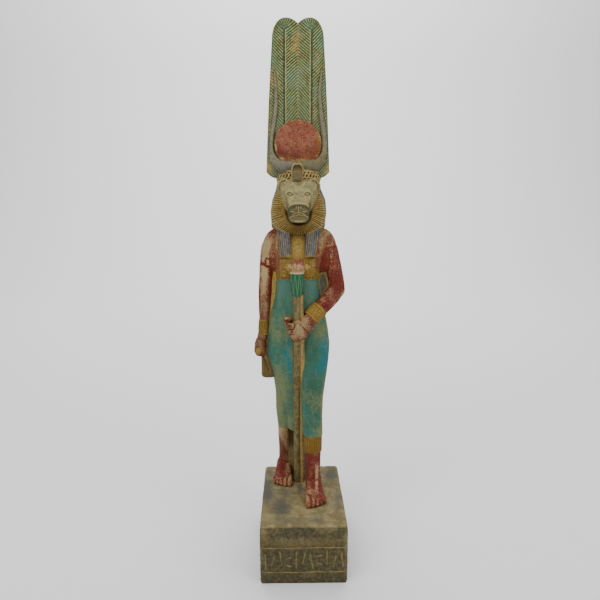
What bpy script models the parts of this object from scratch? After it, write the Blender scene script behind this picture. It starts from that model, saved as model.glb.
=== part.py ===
# Painted stone figure of a lioness-headed goddess striding on a plinth, with plumes, a sun disc and horns.
# Metres, +Z up. The origin is the middle of the plinth's underside, and the figure faces -Y.

import math

import bmesh
import bpy
from mathutils import Matrix, Vector

# Plinth
PLINTH_WIDTH = 0.075
PLINTH_DEPTH = 0.120
PLINTH_HEIGHT = 0.053
PLINTH_EDGE = 0.0022
REGISTER_TOP = 0.0335
REGISTER_BOTTOM = 0.0110
REGISTER_MARGIN = 0.003
STROKE_WIDTH = 0.0012
STROKE_DEPTH = 0.0006
STROKE_COUNT = 11

# Figure. Its proportions are shares of its height: one UNIT is a millimetre at the true size.
FIGURE_HEIGHT = 0.293
UNIT = FIGURE_HEIGHT / 293
AXIS_FROM_BACK = 0.024
AXIS_SHIFT = -0.0038
FOOT_SINK = 0.002

# Staff held in front of the body
STAFF_RADIUS = 0.0040
PAPYRUS_RADIUS = 0.0066
PAPYRUS_LENGTH = 0.0225

# Back pillar
PILLAR_WIDTH = 0.026
PILLAR_FROM_BACK = 0.0025

# Crown, standing on top of the head
CAP_RADIUS = 0.0205
CAP_FLATTENING = 0.8
CAP_HEIGHT = 0.0075
CAP_SINK = 0.0025
PLUME_HEIGHT = 0.1385
PLUME_TOP_WIDTH = 0.0436
PLUME_FOOT_WIDTH = 0.0580
PLUME_BULGE = 0.0007
PLUME_TIP_RISE = 0.0190
PLUME_NOTCH = 0.0048
PLUME_THICKNESS = 0.015
PLUME_FOOT_RISE = 0.0034
PLUME_FORWARD = 0.008
BARB_PITCH = 0.0028
BARB_RISE = 0.0085
BARB_RELIEF = 0.0007
DISC_RADIUS = 0.0212
DISC_RELIEF = 0.0045
DISC_SINK = 0.003
DISC_RISE = 0.0296
DISC_SEAT = 0.0014
DISC_SEAT_RELIEF = 0.0022
HORN_RADIUS = 0.0056

# Mane ruff round the face
MANE_HALF_WIDTH = 0.0253
MANE_BELOW = 0.0172
MANE_ABOVE = 0.0300
MANE_INNER_SHARE = 0.38
MANE_LOCKS = 46
LOCK_RELIEF = 0.0008

# How finely the carved body is resolved
BODY_VOXEL = 0.0008
BODY_KEEP = 0.0260

AXIS_X = AXIS_SHIFT
AXIS_Y = PLINTH_DEPTH / 2 - AXIS_FROM_BACK
HEAD_TOP = PLINTH_HEIGHT + FIGURE_HEIGHT


def clear_scene():
    for obj in list(bpy.data.objects):
        bpy.data.objects.remove(obj)


def new_collection(name):
    made = bpy.data.collections.new(name)
    bpy.context.scene.collection.children.link(made)
    return made


clear_scene()
statue_collection = new_collection("lioness_goddess_statue")
carving_collection = new_collection("carving_forms")


def at(x, y, z):
    """A point in world metres from figure units: x and y from the body's axis, z from the soles."""
    return Vector((AXIS_X + x * UNIT, AXIS_Y + y * UNIT, PLINTH_HEIGHT + z * UNIT))


def place(obj, collection=carving_collection):
    """Moves obj into a collection. The carving forms are guides that the statue's modifiers read."""
    for owner in list(obj.users_collection):
        owner.objects.unlink(obj)
    collection.objects.link(obj)
    if collection is carving_collection:
        obj.hide_render = True
        obj.display_type = "WIRE"
    return obj


def mesh_object(name, bm):
    bmesh.ops.recalc_face_normals(bm, faces=bm.faces)
    data = bpy.data.meshes.new(name)
    bm.to_mesh(data)
    bm.free()
    return place(bpy.data.objects.new(name, data))


def mesh_of(source):
    """The welded mesh that a curve or a modified object makes. The source is then removed."""
    bpy.context.view_layer.update()
    evaluated = source.evaluated_get(bpy.context.evaluated_depsgraph_get())
    bm = bmesh.new()
    bm.from_mesh(evaluated.to_mesh())
    bmesh.ops.remove_doubles(bm, verts=bm.verts, dist=0.00001)
    bpy.data.objects.remove(source)
    return bm


def loft(name, rings):
    """A closed skin through rings that all have the same number of points."""
    bm = bmesh.new()
    rows = [[bm.verts.new(point) for point in ring] for ring in rings]
    for low, high in zip(rows, rows[1:]):
        for i in range(len(low)):
            j = (i + 1) % len(low)
            bm.faces.new((low[i], low[j], high[j], high[i]))
    bm.faces.new(rows[0])
    bm.faces.new(rows[-1])
    return mesh_object(name, bm)


def swell(angle, power):
    """The unit superellipse: power 2 is round, and more is squarer."""
    c, s = math.cos(angle), math.sin(angle)
    return (
        math.copysign(abs(c) ** (2 / power), c),
        math.copysign(abs(s) ** (2 / power), s),
    )


def level_rings(stations, count=28):
    """Level ovals, lowest first, from (z, centre x, centre y, half width, half depth, power)."""
    rings = []
    for z, cx, cy, rx, ry, power in stations:
        turn = [swell(2 * math.pi * i / count, power) for i in range(count)]
        rings.append([at(cx + rx * u, cy + ry * v, z) for u, v in turn])
    return rings


def facing_rings(stations, count=24):
    """Upright ovals facing the front, from (y, centre x, centre z, half width, half height, power)."""
    rings = []
    for y, cx, cz, rx, rz, power in stations:
        turn = [swell(2 * math.pi * i / count, power) for i in range(count)]
        rings.append([at(cx + rx * u, y, cz + rz * v) for u, v in turn])
    return rings


def limb(name, stations, smooth=3):
    """A round limb through (x, y, z, radius) stations in figure units, made a mesh with welded caps."""
    curve = bpy.data.curves.new(name, "CURVE")
    curve.dimensions = "3D"
    curve.bevel_depth = UNIT
    curve.bevel_resolution = 6
    curve.resolution_u = smooth
    curve.use_fill_caps = True
    spline = curve.splines.new("BEZIER")
    spline.bezier_points.add(len(stations) - 1)
    for point, (x, y, z, radius) in zip(spline.bezier_points, stations):
        point.co = at(x, y, z)
        point.radius = radius
        point.handle_left_type = point.handle_right_type = "AUTO"
    source = bpy.data.objects.new(name + "_path", curve)
    bpy.context.scene.collection.objects.link(source)
    return mesh_object(name, mesh_of(source))


def ball(name, centre, radii, segments=20):
    """An ellipsoid in figure units."""
    bm = bmesh.new()
    bmesh.ops.create_uvsphere(bm, u_segments=segments, v_segments=segments // 2, radius=1)
    for vert in bm.verts:
        vert.co = at(*(c + r * p for c, r, p in zip(centre, radii, vert.co)))
    return mesh_object(name, bm)


def block(name, low, high, edge=0.0):
    """A box between two corners in world metres, with rounded edges where edge is given."""
    centre = [(a + b) / 2 for a, b in zip(low, high)]
    bm = bmesh.new()
    bmesh.ops.create_cube(bm, size=1)
    for vert in bm.verts:
        vert.co = Vector(c + (b - a) * p for c, a, b, p in zip(centre, low, high, vert.co))
    if edge:
        bmesh.ops.bevel(bm, geom=list(bm.edges), offset=edge, segments=2, profile=0.5, affect="EDGES")
    return mesh_object(name, bm)


def stone_material():
    """Weathered paint over dark stone, for every part of the one carved block."""
    material = bpy.data.materials.new("painted_stone")
    material.use_nodes = True
    shader = material.node_tree.nodes["Principled BSDF"]
    shader.inputs["Base Color"].default_value = (0.19, 0.20, 0.13, 1)
    shader.inputs["Roughness"].default_value = 0.8
    shader.inputs["Metallic"].default_value = 0.0
    return material


def body_forms():
    """The torso, the sheath dress over a striding pair of legs, and the stone left between them."""
    torso = [
        (150, 0, 0, 26.0, 15.5, 2.2),
        (171, -0.2, -0.5, 24.6, 14.8, 2.2),
        (180, -0.3, -0.6, 22.2, 14.2, 2.2),
        (190, -0.5, -0.6, 20.6, 13.8, 2.3),
        (199, -0.6, -0.8, 19.8, 13.8, 2.4),
        (210, -0.4, -1.2, 20.6, 14.4, 2.4),
        (220, 0.4, -1.0, 23.2, 14.2, 2.4),
        (230, 1.2, -0.4, 27.5, 13.0, 2.5),
        (238, 1.5, 0.2, 28.0, 11.5, 2.5),
        (245, 1.2, 0.6, 22.0, 10.0, 2.3),
        (256, 0.4, 0.6, 14.0, 9.5, 2.0),
    ]
    hips = [
        (50, 1.4, -5.0, 16.0, 12.0, 2.4),
        (73, 1.2, -3.5, 17.0, 13.0, 2.4),
        (88, 1.0, -2.5, 18.5, 13.5, 2.4),
        (103, 0.8, -1.5, 22.0, 14.5, 2.4),
        (117, 0.0, -1.0, 27.0, 15.5, 2.3),
        (127, -0.2, -0.8, 29.0, 16.0, 2.3),
        (137, -0.3, -0.6, 29.6, 16.2, 2.3),
        (151, -0.1, -0.5, 28.6, 15.8, 2.3),
        (161, -0.2, -0.5, 27.2, 15.4, 2.2),
        (171, -0.3, -0.5, 25.0, 14.8, 2.2),
    ]
    advanced_thigh = [
        (51, 13.2, -23.0, 9.4, 10.6, 2.2),
        (70, 13.0, -19.5, 9.9, 12.0, 2.2),
        (88, 13.2, -16.0, 10.6, 13.0, 2.2),
        (103, 14.0, -12.5, 12.2, 13.6, 2.2),
        (120, 14.6, -8.0, 13.8, 14.0, 2.2),
        (137, 14.0, -4.5, 14.8, 14.2, 2.2),
        (151, 12.0, -2.0, 14.0, 13.0, 2.2),
    ]
    resting_thigh = [
        (51, -11.0, 7.0, 8.3, 9.6, 2.2),
        (70, -11.4, 6.0, 9.6, 11.0, 2.2),
        (88, -11.6, 5.0, 10.0, 12.2, 2.2),
        (103, -12.2, 3.5, 11.8, 13.4, 2.2),
        (120, -14.0, 1.5, 14.2, 15.0, 2.2),
        (137, -14.6, 0.0, 15.2, 15.2, 2.2),
        (151, -13.0, -0.5, 14.6, 14.4, 2.2),
    ]
    loft("torso", level_rings(torso))
    loft("hips", level_rings(hips))
    loft("advanced_thigh", level_rings(advanced_thigh))
    loft("resting_thigh", level_rings(resting_thigh))
    for side in (-1, 1):
        ball(f"breast_{'left' if side > 0 else 'right'}", (side * 9.5, -11.5, 219), (7.0, 4.6, 7.5))


def leg(name, x, knee_y, ankle_y, lean):
    """A shin from inside the dress down to the ankle."""
    stations = [
        (4, x, ankle_y, 7.4, 9.5, 2.2),
        (14, x, ankle_y + 0.5, 7.3, 8.8, 2.2),
        (27, x - lean, ankle_y * 0.8 + knee_y * 0.2, 7.3, 8.0, 2.1),
        (42, x - lean, ankle_y * 0.4 + knee_y * 0.6, 8.0, 8.8, 2.1),
        (58, x - lean, knee_y, 8.3, 9.6, 2.2),
    ]
    return loft(name, level_rings(stations, 20))


def foot(name, x, ankle_y, inner):
    """A bare foot with five toes. inner is the side of the big toe, -1 or +1 along X."""
    sole = -FOOT_SINK / UNIT
    profile = [
        (11.0, 0.0, 3.6, 6.5),
        (8.0, 0.0, 6.4, 11.0),
        (0.0, 0.0, 7.6, 16.0),
        (-8.0, 0.3, 8.0, 14.0),
        (-16.0, 0.6, 8.4, 10.0),
        (-23.0, 0.8, 9.0, 7.2),
        (-28.0, 0.9, 9.2, 5.6),
    ]
    stations = [
        (ankle_y + dy, x - inner * shift, (sole + top) / 2, half, (top - sole) / 2, 3.2)
        for dy, shift, half, top in profile
    ]
    loft(name, facing_rings(stations, 20))
    toe_places = [
        (-6.6, -35.6, 2.5),
        (-2.1, -34.8, 1.85),
        (1.7, -32.9, 1.75),
        (5.1, -30.6, 1.65),
        (8.2, -28.0, 1.6),
    ]
    for number, (across, tip, radius) in enumerate(toe_places, 1):
        toe_x = x - inner * (across + 0.8)
        limb(
            f"{name}_toe_{number}",
            [
                (toe_x + inner * 0.8, ankle_y - 22, 3.6, radius),
                (toe_x, ankle_y + tip + 4.5, 3.2, radius),
                (toe_x, ankle_y + tip + radius * 0.5, 1.9, radius * 0.95),
            ],
            2,
        )


def legs_and_feet():
    leg("advanced_shin", 14.0, -23.5, -31.5, 0.2)
    leg("resting_shin", -12.3, 7.0, 9.8, -0.6)
    foot("advanced_foot", 14.2, -31.5, -1)
    foot("resting_foot", -14.0, 10.0, 1)
    # The block left behind the shins, which ties the legs, the staff and the pillar together.
    loft(
        "leg_web",
        level_rings(
            [
                (-FOOT_SINK / UNIT, -1.0, 5.0, 8.5, 14.0, 4),
                (20, 0.0, 4.5, 9.0, 13.0, 4),
                (40, 1.5, 3.0, 10.5, 12.0, 4),
                (60, 1.5, 0.0, 12.0, 11.0, 4),
            ]
        ),
    )


def arms():
    """The right arm hangs at the side, and the left one is bent to hold the staff."""
    limb(
        "hanging_arm",
        [
            (-18.0, 0.5, 240, 7.0),
            (-25.2, 0.0, 230, 8.8),
            (-28.6, 0.0, 216, 7.4),
            (-30.3, 0.0, 200, 6.5),
            (-31.0, 0.0, 188, 6.6),
            (-31.8, -0.8, 172, 5.8),
            (-32.6, -1.6, 158, 4.3),
            (-33.2, -2.2, 148, 4.5),
        ],
    )
    limb(
        "bent_upper_arm",
        [
            (20.0, 0.5, 240, 7.0),
            (27.6, 0.0, 230, 8.8),
            (32.4, 0.0, 215, 8.0),
            (35.4, -0.5, 202, 7.6),
            (37.2, -1.5, 191, 7.6),
        ],
    )
    limb(
        "bent_forearm",
        [
            (37.0, -1.5, 190, 7.6),
            (32.8, -5.0, 184.0, 8.0),
            (24.6, -11.0, 176.0, 7.7),
            (15.6, -15.5, 167.0, 6.6),
            (10.0, -18.4, 162.0, 6.8),
            (4.0, -20.0, 156.5, 7.6),
        ],
    )
    ball("hanging_shoulder", (-19.5, 0.0, 226.0), (14.4, 9.5, 21.0))
    ball("bent_shoulder", (21.5, 0.0, 226.0), (15.4, 9.5, 21.5))
    ball("bent_elbow", (37.2, -1.0, 189.0), (7.7, 7.8, 8.6))
    # Stone left between the arms and the body.
    loft(
        "hanging_arm_web",
        level_rings([(118, -29, 2.5, 5, 5, 4), (150, -28, 2.5, 6, 5, 4), (190, -24, 2.5, 7, 5, 4),
                     (232, -22, 2.5, 7, 5, 4)], 12),
    )
    loft(
        "bent_arm_web",
        level_rings([(156, 17, -3, 8, 8, 4), (170, 22, -2, 9, 8, 4), (182, 26, 2.5, 9, 5, 4),
                     (200, 25, 3, 9, 4, 4), (232, 24, 3, 8, 5, 4)], 12),
    )


def hands():
    """The right fist closes on a short rod, and the left one on the staff."""
    ball("hanging_fist", (-36.0, -2.6, 134.0), (5.6, 7.4, 10.2))
    ball("hanging_palm", (-34.4, -2.6, 143.5), (4.9, 5.4, 6.4))
    limb("fist_rod", [(-36.6, -11.8, 131.5, 2.9), (-36.4, -3.0, 132.0, 2.9), (-36.2, 6.0, 132.0, 2.6)], 1)
    ball("staff_fist", (1.6, -20.0, 153.6), (8.8, 7.8, 10.6))
    ball("staff_wrist", (6.6, -19.6, 158.0), (7.6, 7.0, 8.4))
    ball("staff_palm", (-1.0, -19.5, 150.0), (7.0, 6.8, 7.2))
    # The fingers go round the far side of the staff, and two tips show beside it.
    fingers = [
        [(4.0, -13.5, 160.0, 3.4), (-3.0, -13.4, 161.4, 3.4),
         (-8.0, -15.6, 162.2, 3.2), (-9.6, -20.2, 162.6, 3.1)],
        [(-2.0, -13.5, 156.0, 3.4), (-6.6, -16.0, 156.6, 3.4),
         (-7.8, -20.6, 157.2, 3.2), (-5.6, -24.0, 157.8, 3.1)],
    ]
    for number, path in enumerate(fingers, 1):
        limb(f"staff_finger_{number}", path, 2)
    ball("staff_grip", (-2.6, -16.0, 158.6), (7.2, 5.0, 6.4))
    # The end of the cloth that the hanging hand holds against the thigh.
    cloth = [
        (103, -28.9, 0, 6.6, 4.5, 5),
        (124, -29.4, 0, 6.0, 4.5, 5),
        (134, -30.0, 0, 5.2, 4.5, 5),
    ]
    loft("cloth_end", level_rings(cloth, 16))


def bands():
    """Bracelets on both wrists, raised a little."""
    limb("hanging_bracelet", [(-32.6, -1.6, 160, 5.0), (-33.2, -2.2, 146, 5.2)], 1)
    limb("bent_bracelet", [(20.2, -13.2, 172.6, 8.5), (11.4, -17.4, 164.0, 8.0)], 1)


def wig():
    """The wig's back, and its two lappets down the chest."""
    back = [
        (222, 0, 9.5, 17.0, 6.5, 2.6),
        (238, 0, 8.5, 20.0, 8.5, 2.5),
        (248, 0.3, 5.5, 24.4, 12.0, 2.3),
        (262, 0.6, 3.5, 25.0, 14.0, 2.2),
        (273, 1.2, 2.8, 24.8, 14.0, 2.2),
        (282, 0.7, 2.2, 21.4, 14.0, 2.2),
        (292, 0, 1.5, 18.8, 13.0, 2.2),
    ]
    loft("wig_back", level_rings(back))
    right_lappet = [
        (221.4, -11.8, -13.4, 5.2, 3.6, 4),
        (232, -12.3, -13.4, 5.6, 4.0, 4),
        (244, -13.6, -12.6, 6.0, 4.4, 3.5),
        (256, -15.6, -8.0, 7.0, 6.0, 3),
    ]
    left_lappet = [
        (221.4, 11.1, -13.4, 5.2, 3.6, 4),
        (232, 12.2, -13.4, 6.0, 4.0, 4),
        (244, 14.0, -12.6, 7.0, 4.4, 3.5),
        (256, 16.2, -8.0, 7.2, 6.0, 3),
    ]
    loft("right_lappet", level_rings(right_lappet, 20))
    loft("left_lappet", level_rings(left_lappet, 20))


def head_forms():
    """A lioness's skull, cheeks, muzzle and ears."""
    ball("skull", (0, -3.0, 274.0), (19.4, 17.0, 18.8), 24)
    face = [
        (-4.0, 0.2, 276.0, 18.8, 17.0, 3.0),
        (-12.0, 0.4, 279.2, 18.2, 13.6, 3.2),
        (-16.5, 0.4, 279.0, 16.9, 12.4, 3.0),
        (-19.5, 0.4, 276.6, 14.6, 12.4, 2.7),
        (-22.0, 0.4, 272.2, 12.2, 11.2, 2.5),
        (-25.5, 0.4, 265.2, 10.9, 10.6, 2.7),
        (-29.5, 0.4, 262.2, 10.4, 9.8, 3.2),
        (-33.0, 0.4, 261.7, 10.0, 9.2, 3.6),
        (-34.6, 0.4, 261.6, 9.2, 8.3, 3.6),
    ]
    loft("face", facing_rings(face))
    ball("nose_pad", (0.4, -34.6, 267.4), (5.4, 2.2, 2.0), 12)
    ball("chin", (0.4, -33.0, 254.9), (6.0, 3.4, 2.6), 12)
    for side in (-1, 1):
        ball(f"brow_{side}", (0.4 + side * 7.9, -20.6, 281.8), (5.2, 3.0, 1.7), 12)
        ball(f"muzzle_pad_{side}", (0.4 + side * 5.1, -32.6, 260.6), (4.8, 4.6, 3.6), 14)
        ball(f"eye_{side}", (0.4 + side * 7.9, -22.6, 277.4), (3.1, 2.0, 1.5), 12)
        ear = [(4.6, 280.6), (5.6, 285.0), (3.8, 289.4), (0.0, 291.2), (-3.6, 289.2), (-5.2, 285.2)]
        limb(f"ear_rim_{side}", [(0.7 + side * (13.1 + x), -16.6, z, 1.3) for x, z in ear])


def straps():
    """The two broad straps of the dress, from its band up to the lappets."""
    for side, middle, half in ((-1, -11.4, 5.7), (1, 11.0, 5.4)):
        strap = [(199, middle, -10.4, half, 4.6, 4), (210, middle, -11.2, half, 4.6, 4),
                 (222, middle, -11.2, half, 4.6, 4)]
        loft(f"strap_{'left' if side > 0 else 'right'}", level_rings(strap, 16))
    loft("dress_band", level_rings([(198, -0.5, -0.9, 20.6, 14.6, 2.4), (207, -0.4, -1.1, 20.9, 15.0, 2.4)]))


def staff():
    """The papyrus sceptre: a turned shaft under an open flower, leaning back towards its foot."""
    foot_point = at(0.0, -11.0, 0.0) - Vector((0, 0, FOOT_SINK))
    top_point = at(-1.2, -20.4, 207.6)
    length = (top_point - foot_point).length
    neck = length - PAPYRUS_LENGTH
    profile = [
        (0.0, length),
        (PAPYRUS_RADIUS * 0.90, length),
        (PAPYRUS_RADIUS, length - PAPYRUS_LENGTH * 0.05),
        (PAPYRUS_RADIUS * 0.93, length - PAPYRUS_LENGTH * 0.16),
        (PAPYRUS_RADIUS * 0.95, length - PAPYRUS_LENGTH * 0.5),
        (PAPYRUS_RADIUS * 0.86, length - PAPYRUS_LENGTH * 0.8),
        (STAFF_RADIUS * 1.05, neck),
        (STAFF_RADIUS * 0.88, neck - PAPYRUS_LENGTH * 0.25),
        (STAFF_RADIUS, neck * 0.5),
        (STAFF_RADIUS * 1.03, 0.0),
        (0.0, 0.0),
    ]
    data = bpy.data.meshes.new("staff_profile")
    data.from_pydata([(radius, 0, height) for radius, height in profile],
                     [(i, i + 1) for i in range(len(profile) - 1)], [])
    source = bpy.data.objects.new("staff_profile", data)
    bpy.context.scene.collection.objects.link(source)
    screw = source.modifiers.new("turn", "SCREW")
    screw.steps = screw.render_steps = 16
    screw.use_merge_vertices = True
    screw.merge_threshold = 0.00001
    bm = mesh_of(source)
    turn = (top_point - foot_point).to_track_quat("Z", "Y").to_matrix().to_4x4()
    bmesh.ops.transform(bm, matrix=turn, verts=bm.verts)
    bmesh.ops.translate(bm, vec=foot_point, verts=bm.verts)
    mesh_object("staff", bm)
    # The fin of stone left between the staff and the body.
    loft(
        "staff_web",
        level_rings(
            [
                (-FOOT_SINK / UNIT, 0.0, -5.0, 3.4, 7.0, 6),
                (60, 0.0, -7.0, 3.4, 7.0, 6),
                (120, -0.4, -13.0, 3.4, 4.0, 6),
                (200, -1.0, -15.0, 3.4, 5.0, 6),
            ],
            12,
        ),
    )


def carved_body():
    """Joins the figure's forms into one skin: a voxel remesh blends them, and the faces are then thinned."""
    forms = list(carving_collection.objects)
    bm = bmesh.new()
    for form in forms:
        bm.from_mesh(form.data)
        bpy.data.objects.remove(form)
    body = mesh_object("body", bm)
    remesh = body.modifiers.new("blend", "REMESH")
    remesh.mode = "VOXEL"
    remesh.voxel_size = BODY_VOXEL
    smooth = body.modifiers.new("soften", "SMOOTH")
    smooth.factor = 0.5
    smooth.iterations = 2
    thin = body.modifiers.new("thin", "DECIMATE")
    thin.ratio = BODY_KEEP
    return body


def mane():
    """The ruff of locks round the face, as an egg-shaped ring fluted by a cosine."""
    steps = MANE_LOCKS * 2
    # Share of the way out, forward reach in units, and how deep the flutes are there.
    section = [
        (0.0, 9.5, 0), (0.25, 10.5, 0), (0.55, 9.0, 1),
        (0.82, 5.4, 1), (1.0, 0.6, 0.6), (0.96, -6.0, 0),
    ]
    rings = []
    for share, reach, flute in section:
        spread = MANE_INNER_SHARE + (1 - MANE_INNER_SHARE) * share
        centre = at(0.3, -12.0, 262.0 - 5.0 * share)
        ring = []
        for i in range(steps):
            angle = 2 * math.pi * i / steps
            across = MANE_HALF_WIDTH * spread * math.cos(angle)
            tall = (MANE_ABOVE if math.sin(angle) > 0 else MANE_BELOW) * spread * math.sin(angle)
            back = 11.0 * max(0.0, math.sin(angle) - 0.45) / 0.55
            lift = LOCK_RELIEF * flute * (1 if i % 2 else -1)
            ring.append(centre + Vector((across, (back - reach) * UNIT - lift, tall)))
        rings.append(ring)
    return loft("mane", rings)


def plume_half_width(height):
    """Half the width of the pair of plumes at a height above their foot."""
    share = min(1.0, max(0.0, height / PLUME_HEIGHT))
    taper = (PLUME_FOOT_WIDTH * (1 - share) + PLUME_TOP_WIDTH * share) / 2
    return taper + PLUME_BULGE * 4 * share * (1 - share)


def plumes():
    """Two tall feathers side by side: a slab with barbs rising from each shaft, cut to the pair's outline."""
    front = AXIS_Y - PLUME_FORWARD
    back = front + PLUME_THICKNESS
    rows = int((PLUME_HEIGHT + BARB_RISE) / BARB_PITCH) * 2
    # Share of the way from the middle line to the edge, and share of the barb's rise there.
    columns = [(-1, 1), (-0.54, 0.06), (-0.46, 0.06), (0, 1), (0.46, 0.06), (0.54, 0.06), (1, 1)]
    bm = bmesh.new()
    skin = []
    for j in range(rows + 1):
        base = (PLUME_HEIGHT + BARB_RISE + 0.002) * j / rows - BARB_RISE - 0.001
        row = []
        for share, rise in columns:
            height = base + rise * BARB_RISE
            lift = BARB_RELIEF if rise == 1 and j % 2 else 0.0
            across = share * (plume_half_width(height) + 0.004)
            row.append(bm.verts.new((AXIS_X + across, front - lift, HEAD_TOP + height)))
        skin.append(row)
    for low, high in zip(skin, skin[1:]):
        for i in range(len(low) - 1):
            bm.faces.new((low[i], low[i + 1], high[i + 1], high[i]))
    rim = skin[0] + [row[-1] for row in skin[1:]] + skin[-1][-2::-1] + [row[0] for row in skin[-2:0:-1]]
    behind = [bm.verts.new((vert.co.x, back, vert.co.z)) for vert in rim]
    for i in range(len(rim)):
        j = (i + 1) % len(rim)
        bm.faces.new((rim[i], rim[j], behind[j], behind[i]))
    bm.faces.new(behind)
    slab = mesh_object("plumes", bm)
    cut = slab.modifiers.new("outline", "BOOLEAN")
    cut.operation = "INTERSECT"
    cut.solver = "MANIFOLD"
    cut.object = plume_outline(front)
    return slab


def plume_outline(front):
    """The pair's outline as a prism: a slanted foot, tapering sides, and a round tip to each feather."""
    foot = PLUME_FOOT_WIDTH / 2
    shoulder = PLUME_HEIGHT - PLUME_TIP_RISE
    peak = plume_half_width(PLUME_HEIGHT) / 2
    half = [(foot * 0.66, 0.0), (foot * 0.93, PLUME_FOOT_RISE * 0.6), (foot, PLUME_FOOT_RISE * 1.6)]
    half += [(plume_half_width(shoulder * i / 4), shoulder * i / 4) for i in range(1, 4)]
    wide = plume_half_width(shoulder) - peak
    for i in range(11):
        turn = math.pi / 2 * i / 10
        u, v = swell(turn, 2.1)
        half.append((peak + wide * u, shoulder + PLUME_TIP_RISE * v))
    for i in range(1, 6):
        turn = i / 6
        half.append((peak * (1 - turn), PLUME_HEIGHT - PLUME_NOTCH * turn ** 2.2))
    points = half + [(0.0, PLUME_HEIGHT - PLUME_NOTCH)] + [(-x, z) for x, z in reversed(half)]
    reach = BARB_RELIEF * 2
    rings = [
        [Vector((AXIS_X + x, y, HEAD_TOP + z)) for x, z in points]
        for y in (front - reach, front + PLUME_THICKNESS + reach)
    ]
    return loft("plume_outline", rings)


def sun_disc():
    """The sun disc in front of the plumes: a drum with a rounded rim, on a thinner and wider seat."""
    for name, radius, relief in (
        ("sun_disc", DISC_RADIUS, DISC_RELIEF),
        ("disc_seat", DISC_RADIUS + DISC_SEAT, DISC_SEAT_RELIEF),
    ):
        bm = bmesh.new()
        tall = relief + DISC_SINK
        bmesh.ops.create_cone(bm, cap_ends=True, segments=36, radius1=radius, radius2=radius, depth=tall)
        rim = [edge for edge in bm.edges if all(vert.co.z > 0 for vert in edge.verts)]
        bmesh.ops.bevel(bm, geom=rim, offset=relief * 0.35, segments=3, profile=0.5, affect="EDGES")
        middle = AXIS_Y - PLUME_FORWARD - relief + tall / 2
        bmesh.ops.rotate(bm, verts=bm.verts, matrix=Matrix.Rotation(math.pi / 2, 3, "X"))
        bmesh.ops.translate(bm, verts=bm.verts, vec=(AXIS_X, middle, HEAD_TOP + DISC_RISE))
        mesh_object(name, bm)


def horn(side):
    """A cow's horn, from the middle of the head round the disc and up to a point."""
    stations = [
        (-2.0, -10.5, 302.4, 5.2),
        (8.0, -11.0, 302.6, 5.6),
        (14.5, -11.0, 303.2, 5.6),
        (19.4, -10.4, 306.3, 4.6),
        (22.7, -9.8, 311.5, 3.2),
        (24.1, -9.3, 318.5, 2.3),
        (23.5, -9.0, 330.0, 2.1),
        (21.6, -8.9, 343.0, 2.1),
        (20.1, -8.8, 355.0, 1.9),
        (19.5, -8.6, 366.0, 1.7),
        (20.1, -8.5, 377.0, 1.4),
        (21.1, -8.4, 387.0, 0.9),
    ]
    scale = HORN_RADIUS / (5.6 * UNIT)
    name = "horn_left" if side > 0 else "horn_right"
    return limb(name, [(side * x, y, z, radius * scale) for x, y, z, radius in stations], 3)


def cap_and_cobra():
    """The low round cap with its frieze, and the cobra on the brow."""
    steps = 44
    foot = HEAD_TOP - CAP_SINK
    rings = []
    for share, rise in ((0.96, 0.0), (1.0, 0.08), (1.0, 0.92), (0.96, 1.0)):
        ring = []
        for i in range(steps):
            angle = 2 * math.pi * i / steps
            bead = 1.0 if share < 1 or i % 2 else 0.955
            radius = CAP_RADIUS * share * bead
            across, deep = radius * math.cos(angle), radius * math.sin(angle) * CAP_FLATTENING
            ring.append(Vector((AXIS_X + across, AXIS_Y - 2 * UNIT + deep, foot + CAP_HEIGHT * rise)))
        rings.append(ring)
    loft("cap", rings)
    cobra = [
        (287.0, -0.8, -19.4, 3.8, 3.0, 3),
        (292.0, -0.8, -21.0, 4.5, 3.4, 3),
        (299.0, -0.7, -21.6, 4.8, 3.6, 3),
        (302.4, -0.7, -21.2, 4.2, 3.4, 2.8),
        (304.4, -0.7, -20.6, 2.6, 2.8, 2.2),
    ]
    loft("cobra", level_rings(cobra, 16))


def inscription():
    """Shallow strokes between two ruled lines on the plinth's front face, as one cutter."""
    face = -PLINTH_DEPTH / 2
    low_x = -PLINTH_WIDTH / 2 + REGISTER_MARGIN
    wide = PLINTH_WIDTH - 2 * REGISTER_MARGIN
    tall = REGISTER_TOP - REGISTER_BOTTOM
    strokes = [(low_x + wide / 2, z, wide, 0.0) for z in (REGISTER_BOTTOM, REGISTER_TOP)]
    pitch = wide / STROKE_COUNT
    for i in range(STROKE_COUNT):
        x = low_x + pitch * (i + 0.5)
        middle = (REGISTER_TOP + REGISTER_BOTTOM) / 2 + tall * 0.07 * (i % 3 - 1)
        if i % 4 == 3:
            strokes.append((x, middle + tall * 0.16, pitch * 0.62, math.radians(16)))
            strokes.append((x, middle - tall * 0.16, pitch * 0.62, math.radians(-12)))
        else:
            strokes.append((x, middle, tall * (0.60, 0.42, 0.56)[i % 4], math.radians((90, 76, 98)[i % 4])))
    bm = bmesh.new()
    for x, z, length, angle in strokes:
        made = bmesh.ops.create_cube(bm, size=1)["verts"]
        for vert in made:
            along, deep, thick = vert.co.x * length, vert.co.y * STROKE_DEPTH * 2, vert.co.z * STROKE_WIDTH
            vert.co = Vector((
                x + along * math.cos(angle) - thick * math.sin(angle),
                face + deep,
                z + along * math.sin(angle) + thick * math.cos(angle),
            ))
    return mesh_object("inscription", bm)


def back_pillar():
    """The slab left behind the figure, from the plinth up into the plumes."""
    back = PLINTH_DEPTH / 2 - PILLAR_FROM_BACK
    low = (AXIS_X - PILLAR_WIDTH / 2, AXIS_Y + 3 * UNIT, PLINTH_HEIGHT - FOOT_SINK)
    high = (AXIS_X + PILLAR_WIDTH / 2, back, HEAD_TOP + PLUME_HEIGHT * 0.12)
    return block("back_pillar", low, high, 0.0015)


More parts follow.
